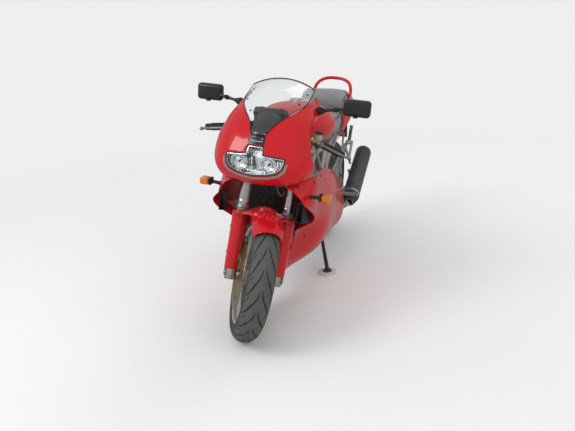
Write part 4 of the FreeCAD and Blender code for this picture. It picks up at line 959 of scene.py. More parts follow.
def carrier(axle, offset, inner, foot, windows):
    """Dished carrier between a rotor and its hub, with round windows and floating buttons."""
    near = -2 if foot < 0 else 2
    dish = turned([(30, foot), (42, foot), (52, near), (inner, near), (inner, -near), (30, -near),
                   (30, foot)], axle + at(0, offset, 0), LEFT, 100)
    height = (inner + 44) / 2 + 8
    window = rod(axle + at(0, offset - 30, height), axle + at(0, offset + 30, height),
                 (inner - 44) * 0.27 / 1000, sides=40)
    dish = softened(cut(dish, ringed(window, windows, axle, LEFT)), 0.0008)
    out = 1 if offset > 0 else -1
    face = offset + out * 2
    button = bolt(axle + at(inner * math.sin(0.3), face, inner * math.cos(0.3)), LEFT * out, 0.0062, 0.0018)
    screw = bolt(axle + at(37, face, 0), LEFT * out, 0.0050, 0.0035)
    return joined([dish, ringed(button, windows * 2, axle, LEFT), ringed(screw, 6, axle, LEFT)])


class BIKE_OT_discs(Maker, bpy.types.Operator):
    """Makes the drilled brake discs on their anodised carriers."""
    bl_idname = "bike.discs"
    bl_label = "Brake discs"

    def make(self, scene):
        steel = both_sides(rotor(FRONT_AXLE, 66, 160, 124, (130, 138, 146, 154), 24))
        settled(steel, "front_disc_rotors", "disc_steel", disc_steel("front", FRONT_AXLE, "front_wheel"),
                30, ["front_discs"], body="front_wheel")
        gold = both_sides(carrier(FRONT_AXLE, 66, 124, -8, 5))
        settled(gold, "front_disc_carriers", "gold_alloy", gold_alloy(), body="front_wheel")
        steel = rotor(REAR_AXLE, -92, 122, 84, (90, 99, 108, 116), 18)
        settled(steel, "rear_disc_rotor", "disc_steel", disc_steel("rear", REAR_AXLE, "rear_wheel"), 30,
                ["rear_disc"], body="rear_wheel")
        settled(carrier(REAR_AXLE, -92, 84, 10, 5), "rear_disc_carrier", "gold_alloy", gold_alloy(),
                body="rear_wheel")


CHAIN_SIDE = 100
LINK_PITCH = 0.0153
GEARBOX = at(-165, CHAIN_SIDE, 400)
WHEEL_HUB = REAR_AXLE + at(0, CHAIN_SIDE, 0)


def chain_run():
    """Places and turns of the chain's links, evenly spaced round both sprockets."""
    near, far = 0.0400, 0.0970
    across = GEARBOX - WHEEL_HUB
    slope, gap = math.atan2(across.z, across.x), across.length
    lean = math.acos((far - near) / gap)
    straight = math.sqrt(gap ** 2 - (far - near) ** 2)
    near_arc, far_arc = near * 2 * lean, far * 2 * (math.pi - lean)
    whole = 2 * straight + near_arc + far_arc
    count = 2 * round(whole / LINK_PITCH / 2)

    def rim(centre, radius, turn):
        return centre + Vector((math.cos(turn), 0, math.sin(turn))) * radius

    for i in range(count):
        run = whole * i / count
        if run < straight:
            a, b = rim(WHEEL_HUB, far, slope + lean), rim(GEARBOX, near, slope + lean)
            yield a.lerp(b, run / straight), slope + lean - math.pi / 2
            continue
        run -= straight
        if run < near_arc:
            turn = slope + lean - run / near
            yield rim(GEARBOX, near, turn), turn - math.pi / 2
            continue
        run -= near_arc
        if run < straight:
            a, b = rim(GEARBOX, near, slope - lean), rim(WHEEL_HUB, far, slope - lean)
            yield a.lerp(b, run / straight), slope - lean - math.pi / 2
            continue
        turn = slope - lean - (run - straight) / far
        yield rim(WHEEL_HUB, far, turn), turn - math.pi / 2


def chain_link(inner):
    """One link: two waisted plates, two pins and, on an inner link, two rollers."""
    half, plate, out = 7.5, 0.9, 4.6 if inner else 6.8
    parts = []
    for side in (-1, 1):
        for spot in (-half, half):
            near, far = at(spot, side * out - plate, 0), at(spot, side * out + plate, 0)
            parts.append(rod(near, far, 0.0063, sides=12))
        parts.append(block(at(0, side * out, 0), (0.015, 0.0018, 0.0100)))
    for spot in (-half, half):
        parts.append(rod(at(spot, -out - 1.6, 0), at(spot, out + 1.6, 0), 0.0030, sides=8))
        if inner:
            parts.append(rod(at(spot, -3.9, 0), at(spot, 3.9, 0), 0.0048, sides=10))
    return joined(parts)


class BIKE_OT_drive(Maker, bpy.types.Operator):
    """Links the chain round a toothed, lightened sprocket, under a slim guard."""
    bl_idname = "bike.drive"
    bl_label = "Chain and sprocket"

    def make(self, scene):
        settled(self.chain(), "chain_links", "chain_steel", chain_steel(), 30, ["drive_chain"])
        settled(self.sprocket(WHEEL_HUB), "toothed_sprocket", "disc_steel", fork_alloy(), 30,
                ["rear_sprocket"], body="rear_wheel")
        settled(self.guard(), "chain_guard", "black_plastic", black_plastic())

    def chain(self):
        kinds = [chain_link(True), chain_link(False)]
        chain = []
        for i, (spot, turn) in enumerate(chain_run()):
            link = copied(kinds[1 - i % 2])
            link.matrix_world = Matrix.Translation(spot) @ Matrix.Rotation(-turn, 4, LEFT)
            chain.append(link)
        for link in kinds:
            bpy.data.objects.remove(link)
        return fixed(joined(chain))

    def sprocket(self, hub):
        """Toothed plate with round windows and slots, bolted to its cup."""
        plate = turned([(30, -3.5), (86, -3.5), (88, -2), (88, 2), (86, 3.5), (30, 3.5), (30, -3.5)],
                       hub, LEFT, 114)
        hole = rod(hub + at(0, -20, 64), hub + at(0, 20, 64), 0.0150, sides=32)
        slot = rod(hub + at(26, -20, 40), hub + at(26, 20, 40), 0.0045, sides=16)
        plate = softened(cut(plate, ringed(hole, 6, hub, LEFT), ringed(slot, 6, hub, LEFT)), 0.0006)
        tooth = block(hub + at(0, 0, 90), (0.0066, 0.0050, 0.0115), 0.0018)
        cup = turned([(30, -18), (42, -18), (42, -3.5), (30, -3.5), (30, -18)], hub, LEFT, 60)
        nut = bolt(hub + at(0, 3.5, 48), LEFT, 0.0062, 0.006, cap=False)
        return joined([plate, ringed(tooth, 38, hub, LEFT), cup, ringed(nut, 6, hub, LEFT)])

    def guard(self):
        """Flat top and side edge that follow the chain's upper run, on two feet."""
        run = (GEARBOX - WHEEL_HUB).normalized()
        top = block(at(-455, 102, 447), (0.330, 0.026, 0.0025), 0.001, run)
        edge = block(at(-455, 116, 436), (0.330, 0.0022, 0.022), 0.001, run)
        feet = [rod(at(x, 117, z), at(x, 117, z - 24), 0.005, sides=12)
                for x, z in ((-330, 452), (-585, 416))]
        return joined([top, edge] + feet)
# (y, z) corners of the headlamp, as in the part's source
LAMP = ((-128, 869), (-133, 860), (-132, 842), (-124, 822), (-104, 804), (-66, 792), (0, 786),
        (66, 792), (104, 804), (124, 822), (132, 842), (133, 860), (128, 869),
        (42, 878), (36, 912), (-36, 912), (-42, 878))
# From where to where along the bike what cuts the nose's panels reaches
NOSE = (600, 800)


def lamp_outline(inset):
    """The headlamp's outline, drawn in by inset, with its corners rounded."""
    corners = []
    for i, here in enumerate(LAMP):
        before, after = Vector(LAMP[i - 1]), Vector(LAMP[(i + 1) % len(LAMP)])
        here = Vector(here)
        inward = (here - before).normalized().orthogonal() + (after - here).normalized().orthogonal()
        corners.append(tuple(here + inward.normalized() * inset * min(1.5, 2 / inward.length)))
    rounded = []
    for i, (y, z) in enumerate(corners):
        before, after = corners[i - 1], corners[(i + 1) % len(corners)]
        for share, (a, b) in ((0.16, before), (0.05, before), (0.05, after), (0.16, after)):
            rounded.append((y + (a - y) * share, z + (b - z) * share))
    return rounded


def lamp_band(outer, inner, lift):
    """Band of the lamp's front between two outlines."""
    band = cut(kept_within(from_cad("headlamp_lens"), prism(lamp_outline(outer), *NOSE)),
               prism(lamp_outline(inner), *NOSE))
    band.location.x = lift / 1000
    return fixed(band)


class BIKE_OT_headlamp(Maker, bpy.types.Operator):
    """Builds the headlamp: ribbed glass, seal, bright rim, pressed bowl, two dishes and their bulbs."""
    bl_idname = "bike.headlamp"
    bl_label = "Headlamp"

    def make(self, scene):
        glass = softened(from_cad("headlamp_lens"), 0.0008, 2, 50)
        ribbed = clear_glass("lamp glass", (0.90, 0.93, 0.94), 0.05, 0.0012)
        settled(glass, "lamp_glass", "clear_lens", ribbed, 30, ["headlamp_lens"])
        settled(lamp_band(-0.5, 5.0, 0.8), "lamp_seal", "black_plastic", soft_rubber())
        settled(lamp_band(5.2, 8.6, -1.4), "lamp_rim", "reflector", bright_alloy())
        settled(from_cad("headlamp_bowl"), "lamp_bowl", "reflector", reflector(), 30, ["headlamp_bowl"])
        dishes, bulbs, hoods = [], [], []
        for side in (66, -66):
            seat = at(708, side, 836)
            dishes.append(turned([(7, 2), (18, 4), (29, 11), (36, 21), (37.5, 21), (30, 10), (18, 2), (7, 0),
                                  (7, 2)], seat, FORWARD, 48))
            bulbs.append(turned([(5, 0), (5, 14), (4, 18), (1, 20)], seat, FORWARD, 20))
            hoods.append(turned([(4.6, 17), (5.6, 17), (5.2, 22), (1.5, 24), (1, 17), (4.6, 17)],
                                seat, FORWARD, 20))
        settled(joined(dishes), "lamp_dishes", "reflector", reflector(), 40)
        bulb_glass = clear_glass("bulb glass", (0.98, 0.97, 0.93))
        settled(joined(bulbs), "lamp_bulbs", "clear_lens", bulb_glass, 40)
        bracket = [block(at(722, 0, 836), (0.004, 0.010, 0.060), 0.0015),
                   block(at(722, -22, 826), (0.004, 0.040, 0.006), 0.0015)]
        settled(joined(hoods + bracket), "lamp_hoods", "black_plastic", black_plastic(), 40)
        lip = kept_within(from_cad("upper_cowl"), prism(self.lip_outline(), *NOSE))
        lip.location.x = 0.0014
        settled(softened(fixed(lip), 0.0006, 2, 50), "lamp_lip", "black_plastic", lip_grey())

    def lip_outline(self):
        """(y, z) corners of the band of cowl that runs under the lamp from side to side."""
        top = ((137, 846), (129, 819), (107, 799), (67, 787))
        low = ((145, 845), (138, 812), (112, 790), (70, 777))
        return ([(-y, z) for y, z in top] + [(0, 781)] + list(top[::-1])
                + list(low) + [(0, 771)] + [(-y, z) for y, z in low[::-1]])


def lip_grey():
    return finish("lip grey", (0.20, 0.205, 0.20), rough=0.42, mottle=0.1, grain=900.0, depth=0.00005,
                  dust=0.25)


class BIKE_OT_neck(Maker, bpy.types.Operator):
    """Cuts the slots in the panel above the headlamp."""
    bl_idname = "bike.neck"
    bl_label = "Slotted neck"

    def make(self, scene):
        neck = from_cad("cowl_neck")
        for z in (926, 937, 948, 959):
            slot = [(-26, z - 2.4), (26, z - 2.4), (27, z), (26, z + 2.4), (-26, z + 2.4), (-27, z)]
            neck = cut(neck, prism(slot, *NOSE))
        settled(softened(neck, 0.0007, 2, 50), "neck_slotted", "black_plastic", neck_black(), 30,
                ["cowl_neck"])


def neck_black():
    return finish("neck black", (0.012, 0.012, 0.014), rough=0.34, mottle=0.15, grain=1200.0, depth=0.00003,
                  dust=0.10, Coat_Weight=0.25, Coat_Roughness=0.15)


def arc_points(a, b, c, count):
    """Points along the circle through three points."""
    p, q = b - a, c - a
    normal = p.cross(q)
    centre = a + (q.length_squared * normal.cross(p) + p.length_squared * q.cross(normal)) / (
        2 * normal.length_squared)
    first, last = a - centre, c - centre
    turn = first.angle(last)
    if (b - centre).dot(first + last) < 0:
        turn = math.tau - turn
    axis = normal.normalized()
    return [centre + Matrix.Rotation(turn * i / (count - 1), 3, axis) @ first for i in range(count)]


class BIKE_OT_screen(Maker, bpy.types.Operator):
    """Glazes the windscreen, with its black edge trim, side seals and screws."""
    bl_idname = "bike.screen"
    bl_label = "Windscreen"

    def make(self, scene):
        settled(from_cad("windscreen"), "screen_glazed", "clear_screen", clear_glass(), 30, ["windscreen"])
        edge = arc_points(at(344, 146, 1104.5), at(341, 0, 1142.5), at(344, -146, 1104.5), 9)
        settled(tube(edge, 0.0026, sides=2), "screen_trim", "black_plastic", soft_rubber(), 60)
        line = [at(x, y + 0.8, z + 1.2)
                for x, y, z in ((686, 35, 958), (636, 58, 991), (570, 104, 1027), (488, 141, 1053),
                                (400, 147, 1082), (346, 146, 1104))]
        seal = both_sides(tube(line, 0.0019, sides=2))
        settled(seal, "screen_seals", "black_plastic", soft_rubber(), 60)
        screws = []
        for x, y, z in ((600, 78, 1016), (512, 128, 1052), (410, 138, 1086)):
            spot, out = on_skin("windscreen", at(x, y, z + 20))
            screws.append(bolt(spot, out if out.z > 0 else -out, 0.0048, 0.0022))
        settled(both_sides(joined(screws)), "screen_screws", "black_plastic", black_plastic())


class BIKE_OT_dials(Maker, bpy.types.Operator):
    """Fits the instrument pod with dials, warning lamps and the ignition lock."""
    bl_idname = "bike.dials"
    bl_label = "Instruments"

    def make(self, scene):
        rise = Vector((36, 0, 60)).normalized()
        face = Vector((-60, 0, 36)).normalized()
        middle = at(524, 0, 998) + face * 0.020
        rims, plates, marks, glasses, needles = [], [], [], [], []
        for side, size, ticks in ((43, 29, 31), (-43, 29, 25), (0, 12, 9)):
            centre = middle + at(0, side, 0) + (rise * 0.006 if size < 20 else rise * 0)
            rims.append(turned([(size, -1), (size + 3, -1), (size + 2.4, 4), (size + 0.6, 5), (size, 3),
                                (size, -1)], centre, face, 48))
            plates.append(turned([(size, 0), (size, 0.8), (1, 0.8)], centre, face, 48))
            tick = block(centre + face * 0.0011 + rise * (size - 4) / 1000, (0.0005, 0.0010, 0.0045),
                         along=face, up=rise)
            marks.append(ringed(tick, ticks, centre, face))
            needles.append(block(centre + face * 0.0020 + rise * (size * 0.32) / 1000,
                                 (0.0006, 0.0014, size * 0.0009), along=face, up=rise))
            glasses.append(turned([(size - 0.5, 2.2), (size - 0.5, 3.0), (1, 3.0)], centre, face, 48))
        lamps = [ball(middle + at(0, y, 0) - rise * 0.022 + face * 0.0008, 0.0034) for y in (-12, -4, 4, 12)]
        settled(joined(rims), "dial_rims", "black_alloy", black_alloy(), 40)
        settled(joined(plates), "dial_faces", "black_plastic", black_plastic(), 40)
        settled(joined(marks + lamps), "dial_marks", "bright_alloy", dial_white(), 40)
        settled(joined(needles), "dial_needles", "orange_lens", tinted_lens("needle red", (0.8, 0.05, 0.01)))
        settled(joined(glasses), "dial_glasses", "clear_lens", clear_glass("dial glass"), 40)
        lock = on_fork(668, 0, -62)
        whole = turned([(19, -10), (19, 4), (17, 8), (12, 9), (11, 6), (2, 6)], lock, UP_FORK, 36)
        slot = block(lock + UP_FORK * 0.0065, (0.012, 0.0024, 0.003))
        settled(joined([whole, slot]), "ignition_lock", "black_alloy", black_alloy(), 35, body="steering")


def dial_white():
    return finish("dial white", (0.72, 0.72, 0.70), rough=0.4, mottle=0.05, dust=0.05)


class BIKE_OT_mirrors(Maker, bpy.types.Operator):
    """Sets the mirror glasses in their shells and the boots over their ball joints."""
    bl_idname = "bike.mirrors"
    bl_label = "Mirror glasses"

    def make(self, scene):
        middle, pivot, root = at(376, 352, 1050), at(398, 264, 1037), at(410, 189, 1026)
        glass = block(middle - at(22.4, 0, 0), (0.0030, 0.106, 0.058), 0.0130, segments=4)
        settled(both_sides(glass), "mirror_glasses", "reflector", mirror_glass(), 40)
        boot = turned([(7.4, -16), (10, -13), (8.6, -10), (11, -7), (9.6, -4), (11.6, 0), (9.6, 4), (8, 9),
                       (7.3, 12)], pivot, (middle - pivot).normalized(), 28)
        gaiter = turned([(18.6, -4), (19.4, 2), (16.4, 8), (15.6, 12), (12.2, 17), (11, 22), (8, 27),
                         (7.4, 30)], root, (pivot - root).normalized(), 32)
        cap = block(at(404, 352, 1014.5), (0.016, 0.020, 0.007), 0.002)
        settled(both_sides(joined([boot, gaiter, cap])), "mirror_boots", "black_plastic", soft_rubber(), 35)


def ribbed_lens(middle, size, soft, rib):
    """Rounded lens with five moulded ribs across it; rib is a rib's middle and size."""
    lens = block(middle, size, soft, segments=4)
    spot, rib_size = rib
    return joined([lens] + [block(spot + at(x, 0, 0), rib_size, 0.0006) for x in (-12, -6, 0, 6, 12)])


def indicator_stalk(root, tip):
    """Black bellows stalk with the base of its lens."""
    run = (tip - root).length * 1000
    stalk = turned([(10.5, 0), (10.5, 3), (8.2, 6), (9.0, 9), (8.0, 12), (8.8, 15), (8.0, 18),
                    (8.0, run - 12), (11, run - 4)], root, (tip - root).normalized(), 28)
    return joined([stalk, block(tip - at(0, 13, 0), (0.0435, 0.013, 0.0335), 0.0055)])


class BIKE_OT_indicators(Maker, bpy.types.Operator):
    """Makes the front and rear indicators."""
    bl_idname = "bike.indicators"
    bl_label = "Indicators"

    def make(self, scene):
        orange = tinted_lens("orange lens", tuple(scene.bike_paint.orange))
        tip, reach = at(563, 275, 673), 42
        stalk = indicator_stalk(at(560, 216, 668), tip)
        settled(both_sides(stalk), "indicator_stalks", "black_plastic", soft_rubber(), 40)
        middle = tip + at(0, reach / 2 - 6, 0)
        lens = ribbed_lens(middle, (0.0440, reach / 1000, 0.0340), 0.0085,
                           (middle, (0.0016, (reach - 12) / 1000, 0.0346)))
        settled(both_sides(lens), "indicator_lenses", "orange_lens", orange, 40, ["indicators"])
        lens = ribbed_lens(at(-858, 120, 800), (0.0448, 0.046, 0.0348), 0.0090,
                           (at(-858, 121, 800), (0.0016, 0.036, 0.0354)))
        settled(both_sides(lens), "rear_indicator_lenses", "orange_lens", orange, 40)


def bar_line():
    """The left handlebar's end, its direction, the lever's forward way, the grip's start and the perch."""
    start, end = on_fork(674, LEG_SIDE, 24), at(400, 312, 862)
    along = (end - start).normalized()
    ahead = along.cross(UP_FORK).normalized()
    ahead = (ahead if ahead.x > 0 else -ahead) - UP * 0.35
    inner = end - along * 0.125
    return end, along, ahead.normalized(), inner, inner - along * 0.028


class BIKE_OT_controls(Maker, bpy.types.Operator):
    """Makes the grips, levers, master cylinders, switch blocks and their hoses, one set a side."""
    bl_idname = "bike.controls"
    bl_label = "Hand controls"

    def make(self, scene):
        end, along, ahead, inner, perch = bar_line()
        side = along.cross(ahead).normalized()
        bar, lever = self.grip(end, along, inner), self.lever(along, ahead, side, perch)
        settled(both_sides(bar), "bar_grips", "grip_rubber", soft_rubber(), 35, ["grips"], body="steering")
        settled(both_sides(lever), "lever_blades", "bright_alloy", cast_alloy(), 40, ["hand_levers"],
                body="steering")
        cylinder = self.cylinder(along, ahead, side, perch)
        settled(both_sides(cylinder), "master_cylinders", "gold_alloy", brass(), 35, body="steering")
        low = perch + ahead * 0.024 + at(0, 0, 10)
        pot = turned([(8, 0), (17, 3), (18, 8), (18, 32), (8, 33)], low, UP, 36)
        settled(both_sides(pot), "fluid_pots", "bright_alloy", fluid_pot(), 35, body="steering")
        cap = turned([(18.8, 31), (19.4, 33), (19.4, 40), (16, 42.5), (4, 42.5)], low, UP, 36)
        switches = joined([cap] + self.switches(along, ahead, side, inner - along * 0.009))
        settled(both_sides(switches), "switch_blocks", "black_plastic", black_plastic(), 35, body="steering")
        hoses = self.hoses(along, ahead, inner, perch)
        settled(both_sides(hoses), "bar_hoses", "black_plastic", soft_rubber(), 60, body="steering")

    def grip(self, end, along, inner):
        """Flanged grip with fine ribs round it, and the weight at the bar's end."""
        ribs = [(11.2, 0), (21.5, 0), (22, 4), (17.4, 6)]
        for step in range(24):
            near = 8 + step * 4.8
            ribs += [(17.2, near), (17.2, near + 3.2), (16.3, near + 3.9), (16.3, near + 4.5)]
        ribs += [(17.2, 125), (16, 129), (11.2, 129), (11.2, 0)]
        weight = turned([(15, 4), (15.6, 6), (15.6, 14), (13, 21), (6, 22), (5, 18), (1, 18)], end, along, 36)
        return joined([turned(ribs, inner - along * 0.005, along, 40), weight])

    def lever(self, along, ahead, side, perch):
        """Curved blade with its ball end, hinge and pivot bolt."""
        pivot = perch + ahead * 0.036 + along * 0.016
        line = [pivot + along * far + ahead * out for far, out in
                ((-0.006, 0), (0.034, 0.016), (0.080, 0.015), (0.120, 0.012), (0.158, 0.018))]
        hinge = rod(pivot - side * 0.010, pivot + side * 0.010, 0.011, sides=28, soft=0.0015)
        screw = bolt(pivot - side * 0.010, -side, 0.0055, 0.003)
        return joined([tube(line, 0.0058, sides=3), ball(line[-1], 0.0088), hinge, screw])

    def cylinder(self, along, ahead, side, perch):
        """Master cylinder with its bracket, and the clamp round the bar with two screws."""
        barrel = turned([(6, -44), (9, -43), (9, -38), (13, -36), (13.6, -30), (12.6, -28), (12.6, 6),
                         (13.6, 9), (13.6, 15), (10, 17), (6, 17)], perch + ahead * 0.026, along, 36)
        bracket = block(perch + ahead * 0.014, (0.026, 0.022, 0.020), 0.003, along, side)
        clamp = rod(perch - along * 0.011, perch + along * 0.011, 0.0185, sides=40, soft=0.002)
        screws = [bolt(perch - ahead * 0.018 + side * off, -ahead, 0.0042, 0.004) for off in (0.010, -0.010)]
        return joined([barrel, bracket, clamp] + screws)

    def switches(self, along, ahead, side, middle):
        """Switch housing with a slider and a button."""
        button = middle + side * 0.013
        return [block(middle, (0.026, 0.040, 0.044), 0.007, along, side, 3),
                block(middle - ahead * 0.019, (0.018, 0.010, 0.008), 0.002, along, side),
                rod(button - ahead * 0.018, button - ahead * 0.026, 0.004, sides=16, soft=0.001)]

    def hoses(self, along, ahead, inner, perch):
        """Brake hose and switch cable, from the bar down to the lower yoke."""
        banjo = perch + ahead * 0.026 - along * 0.047
        hose = tube([banjo, banjo - along * 0.022 + ahead * 0.004, on_fork(640, 62, 58), on_fork(590, 38, 52),
                     on_fork(520, 26, 46), on_fork(470, 22, 38)], 0.0036, sides=3)
        cable = tube([inner - along * 0.012 + ahead * 0.021,
                      perch - along * 0.030 + ahead * 0.050 - at(0, 0, 12),
                      on_fork(620, 78, 62), on_fork(560, 54, 58), on_fork(500, 48, 40)], 0.0028, sides=3)
        return joined([hose, cable])


def fluid_pot():
    return finish("fluid pot", (0.50, 0.46, 0.36), rough=0.3, mottle=0.1, dust=0.15, Transmission_Weight=0.25)


class BIKE_OT_fork(Maker, bpy.types.Operator):
    """Adds the fork's seals, caps, clamp bolts and brake hoses, and the caliper and mudguard bolts."""
    bl_idname = "bike.fork"
    bl_label = "Fork and brake detail"

    def make(self, scene):
        leg = on_fork(0, LEG_SIDE)
        seals = turned([(21.8, 286), (24.5, 287), (25.2, 294), (28.2, 297), (28.2, 306), (27.3, 308),
                        (27.3, 300), (21.8, 300), (21.8, 286)], leg, UP_FORK, 48)
        settled(both_sides(seals), "fork_seals", "cast_alloy", cast_alloy(), 35, body="steering")
        metal = [turned([(27.2, 676), (28.4, 678), (28.4, 686), (27.2, 688), (27.2, 676)], leg, UP_FORK, 48),
                 rod(on_fork(689, LEG_SIDE), on_fork(700, LEG_SIDE), 0.0150, sides=6, soft=0.0012),
                 turned([(9, 699), (9, 706), (7, 709), (1, 709)], leg, UP_FORK, 24),
                 turned([(27.4, 322), (28.0, 324), (28.0, 330), (27.4, 332), (27.4, 322)], leg, UP_FORK, 48)]
        for height, ahead in ((454, 30), (470, 30), (634, 30), (650, 30)):
            metal.append(bolt(on_fork(height, 64, ahead - 18), AHEAD, 0.0062, 0.008))
        for height in (26, 44):
            metal.append(bolt(on_fork(height, 115, -34), LEFT, 0.0052, 0.006))
        metal.append(turned([(8.2, 0), (17, 0), (17, 4), (14, 6), (9, 6), (8.2, 4), (8.2, 0)],
                            on_fork(0, 131), LEFT, 30))
        settled(both_sides(joined(metal)), "fork_bolts", "bright_alloy", bright_alloy(), 35, body="steering")

        settled(both_sides(self.mudguard_bolts()), "mudguard_bolts", "bright_alloy", bright_alloy(),
                body="steering")
        middle = at(566, 70, 374)
        settled(both_sides(self.caliper_bolts(middle)), "caliper_bolts", "bright_alloy", bright_alloy(), 35,
                body="steering")
        hose = tube([middle + at(4, 12, 52), middle + at(-6, 18, 80), on_fork(220, 98, -44),
                     on_fork(320, 97, -40), on_fork(400, 92, -40), on_fork(436, 66, -22),
                     on_fork(446, 30, 8)], 0.0036, sides=3)
        clip = [(3.7, -4), (5.2, -4), (5.2, 4), (3.7, 4), (3.7, -4)]
        clips = [turned(clip, on_fork(height, 97.5, -42), UP_FORK, 20) for height in (250, 330)]
        settled(both_sides(joined([hose] + clips)), "brake_hoses", "black_plastic", soft_rubber(), 60,
                body="steering")
        loop = tube([on_fork(508, 34, 26), on_fork(486, 24, 44), on_fork(440, 22, 52), on_fork(396, 34, 44),
                     on_fork(380, 56, 30), on_fork(404, 74, 14)], 0.0028, sides=3)
        settled(loop, "meter_cable", "black_plastic", cable_brown(), 60, body="steering")

    def mudguard_bolts(self):
        """Bolt heads on the outside of the mudguard, beside the fork leg."""
        studs = []
        for height, turn in ((92, math.radians(82)), (206, math.radians(80))):
            out = AHEAD * math.cos(turn) + LEFT * math.sin(turn)
            spot, way = on_skin("front_mudguard", on_fork(height, LEG_SIDE) + out * 0.045, "steering")
            studs.append(bolt(spot, way if way.dot(out) > 0 else -way, 0.0060, 0.0030))
        return joined(studs)

    def caliper_bolts(self, middle):
        """Body bolts, piston caps, bleed nipple and hose union of the left caliper."""
        parts = [bolt(middle + at(x, 27, z), LEFT, 0.0058, 0.005)
                 for x, z in ((-22, -32), (-22, 32), (22, -32))]
        piston = [(11, 0), (11, 1.4), (9, 2.2), (8.5, 1.2), (2, 1.2)]
        parts += [turned(piston, middle + at(-4, 27, z), LEFT, 28) for z in (-15, 15)]
        parts.append(turned([(4, 0), (4, 6), (2.6, 7), (2.6, 13), (3.4, 14), (3.4, 17), (1, 18)],
                            middle + at(-20, 8, 44), UP, 20))
        parts.append(rod(middle + at(4, 12, 45), middle + at(4, 12, 58), 0.0075, sides=24, soft=0.001))
        return joined(parts)


def cable_brown():
    return finish("cable brown", (0.20, 0.14, 0.08), rough=0.5, mottle=0.2, dust=0.3)


# A seat pad is sunk below its CAD form, then swells by no more than PAD_SWELL
PAD_SUNK, PAD_SWELL = 0.0045, 0.006
PAD_GRID = 0.005
PAD_PRESSURE = 4.0
PAD_FRAMES = 20


def stuffed(piece):
    """Pads a form: air pressure under a close cover pushes it out."""
    modified(piece, "DISPLACE", strength=-PAD_SUNK, mid_level=0.0)
    modified(piece, "REMESH", mode="VOXEL", voxel_size=PAD_GRID)
    modified(piece, "SMOOTH", factor=0.5, iterations=5)
    start = [vertex.co.copy() for vertex in piece.data.vertices]
    cover = piece.modifiers.new("Cover", "CLOTH")
    cover.settings.use_pressure = True
    cover.settings.uniform_pressure_force = PAD_PRESSURE
    cover.settings.effector_weights.gravity = 0.0
    for step in range(1, PAD_FRAMES + 1):
        bpy.context.scene.frame_set(step)
    only(piece)
    bpy.ops.object.modifier_apply(modifier=cover.name)
    bpy.context.scene.frame_set(1)
    for vertex, place in zip(piece.data.vertices, start):
        move = vertex.co - place
        if move.length > PAD_SWELL:
            vertex.co = place + move * (PAD_SWELL / move.length)
    return modified(piece, "SUBSURF", levels=1, render_levels=1)


def seam(node, points, radius, lift=0.0):
    """Piping that follows the points over a node's surface."""
    line = []
    for x, y, z in points:
        spot, out = on_skin(node, at(x, y, z))
        line.append(spot + out * lift)
    return tube(line, radius, sides=2)


class BIKE_OT_seat(Maker, bpy.types.Operator):
    """Pads the rider's and the pillion's seats, with piped seams, a strap and a rubbed, grained cover."""
    bl_idname = "bike.seat"
    bl_label = "Seats"

    def make(self, scene):
        whole = from_cad("seat")
        rider = kept_within(copied(whole), self.span(-424, -60))
        pillion = kept_within(whole, self.span(-800, -425))
        for piece, name, gone in ((rider, "rider_pad", ["seat"]), (pillion, "pillion_pad", [])):
            stuffed(piece)
            settled(piece, name, "seat_cover", seat_cover(), 60, gone)
        rider_seam = ((-112, 58, 896), (-150, 78, 880), (-190, 94, 865), (-250, 109, 860), (-310, 120, 857),
                      (-370, 125, 866), (-414, 128, 878))
        pillion_seam = ((-434, 122, 927), (-500, 126, 955), (-560, 119, 956), (-620, 108, 955),
                        (-690, 88, 951), (-752, 67, 947))
        piping = joined([seam("seat", line, 0.0020, -0.0005) for line in (rider_seam, pillion_seam)])
        across = seam("seat", [(-250, y, 880) for y in range(-108, 109, 36)], 0.0018, -0.0006)
        settled(joined([both_sides(piping), across]), "seat_piping", "seat_cover", soft_rubber(), 60)

    def span(self, rear, front):
        """Block round one pad's length of the seat."""
        low, high, half = 700, 1000, 200
        return prism([(rear, low), (front, low), (front, high), (rear, high)], -half, half, True)


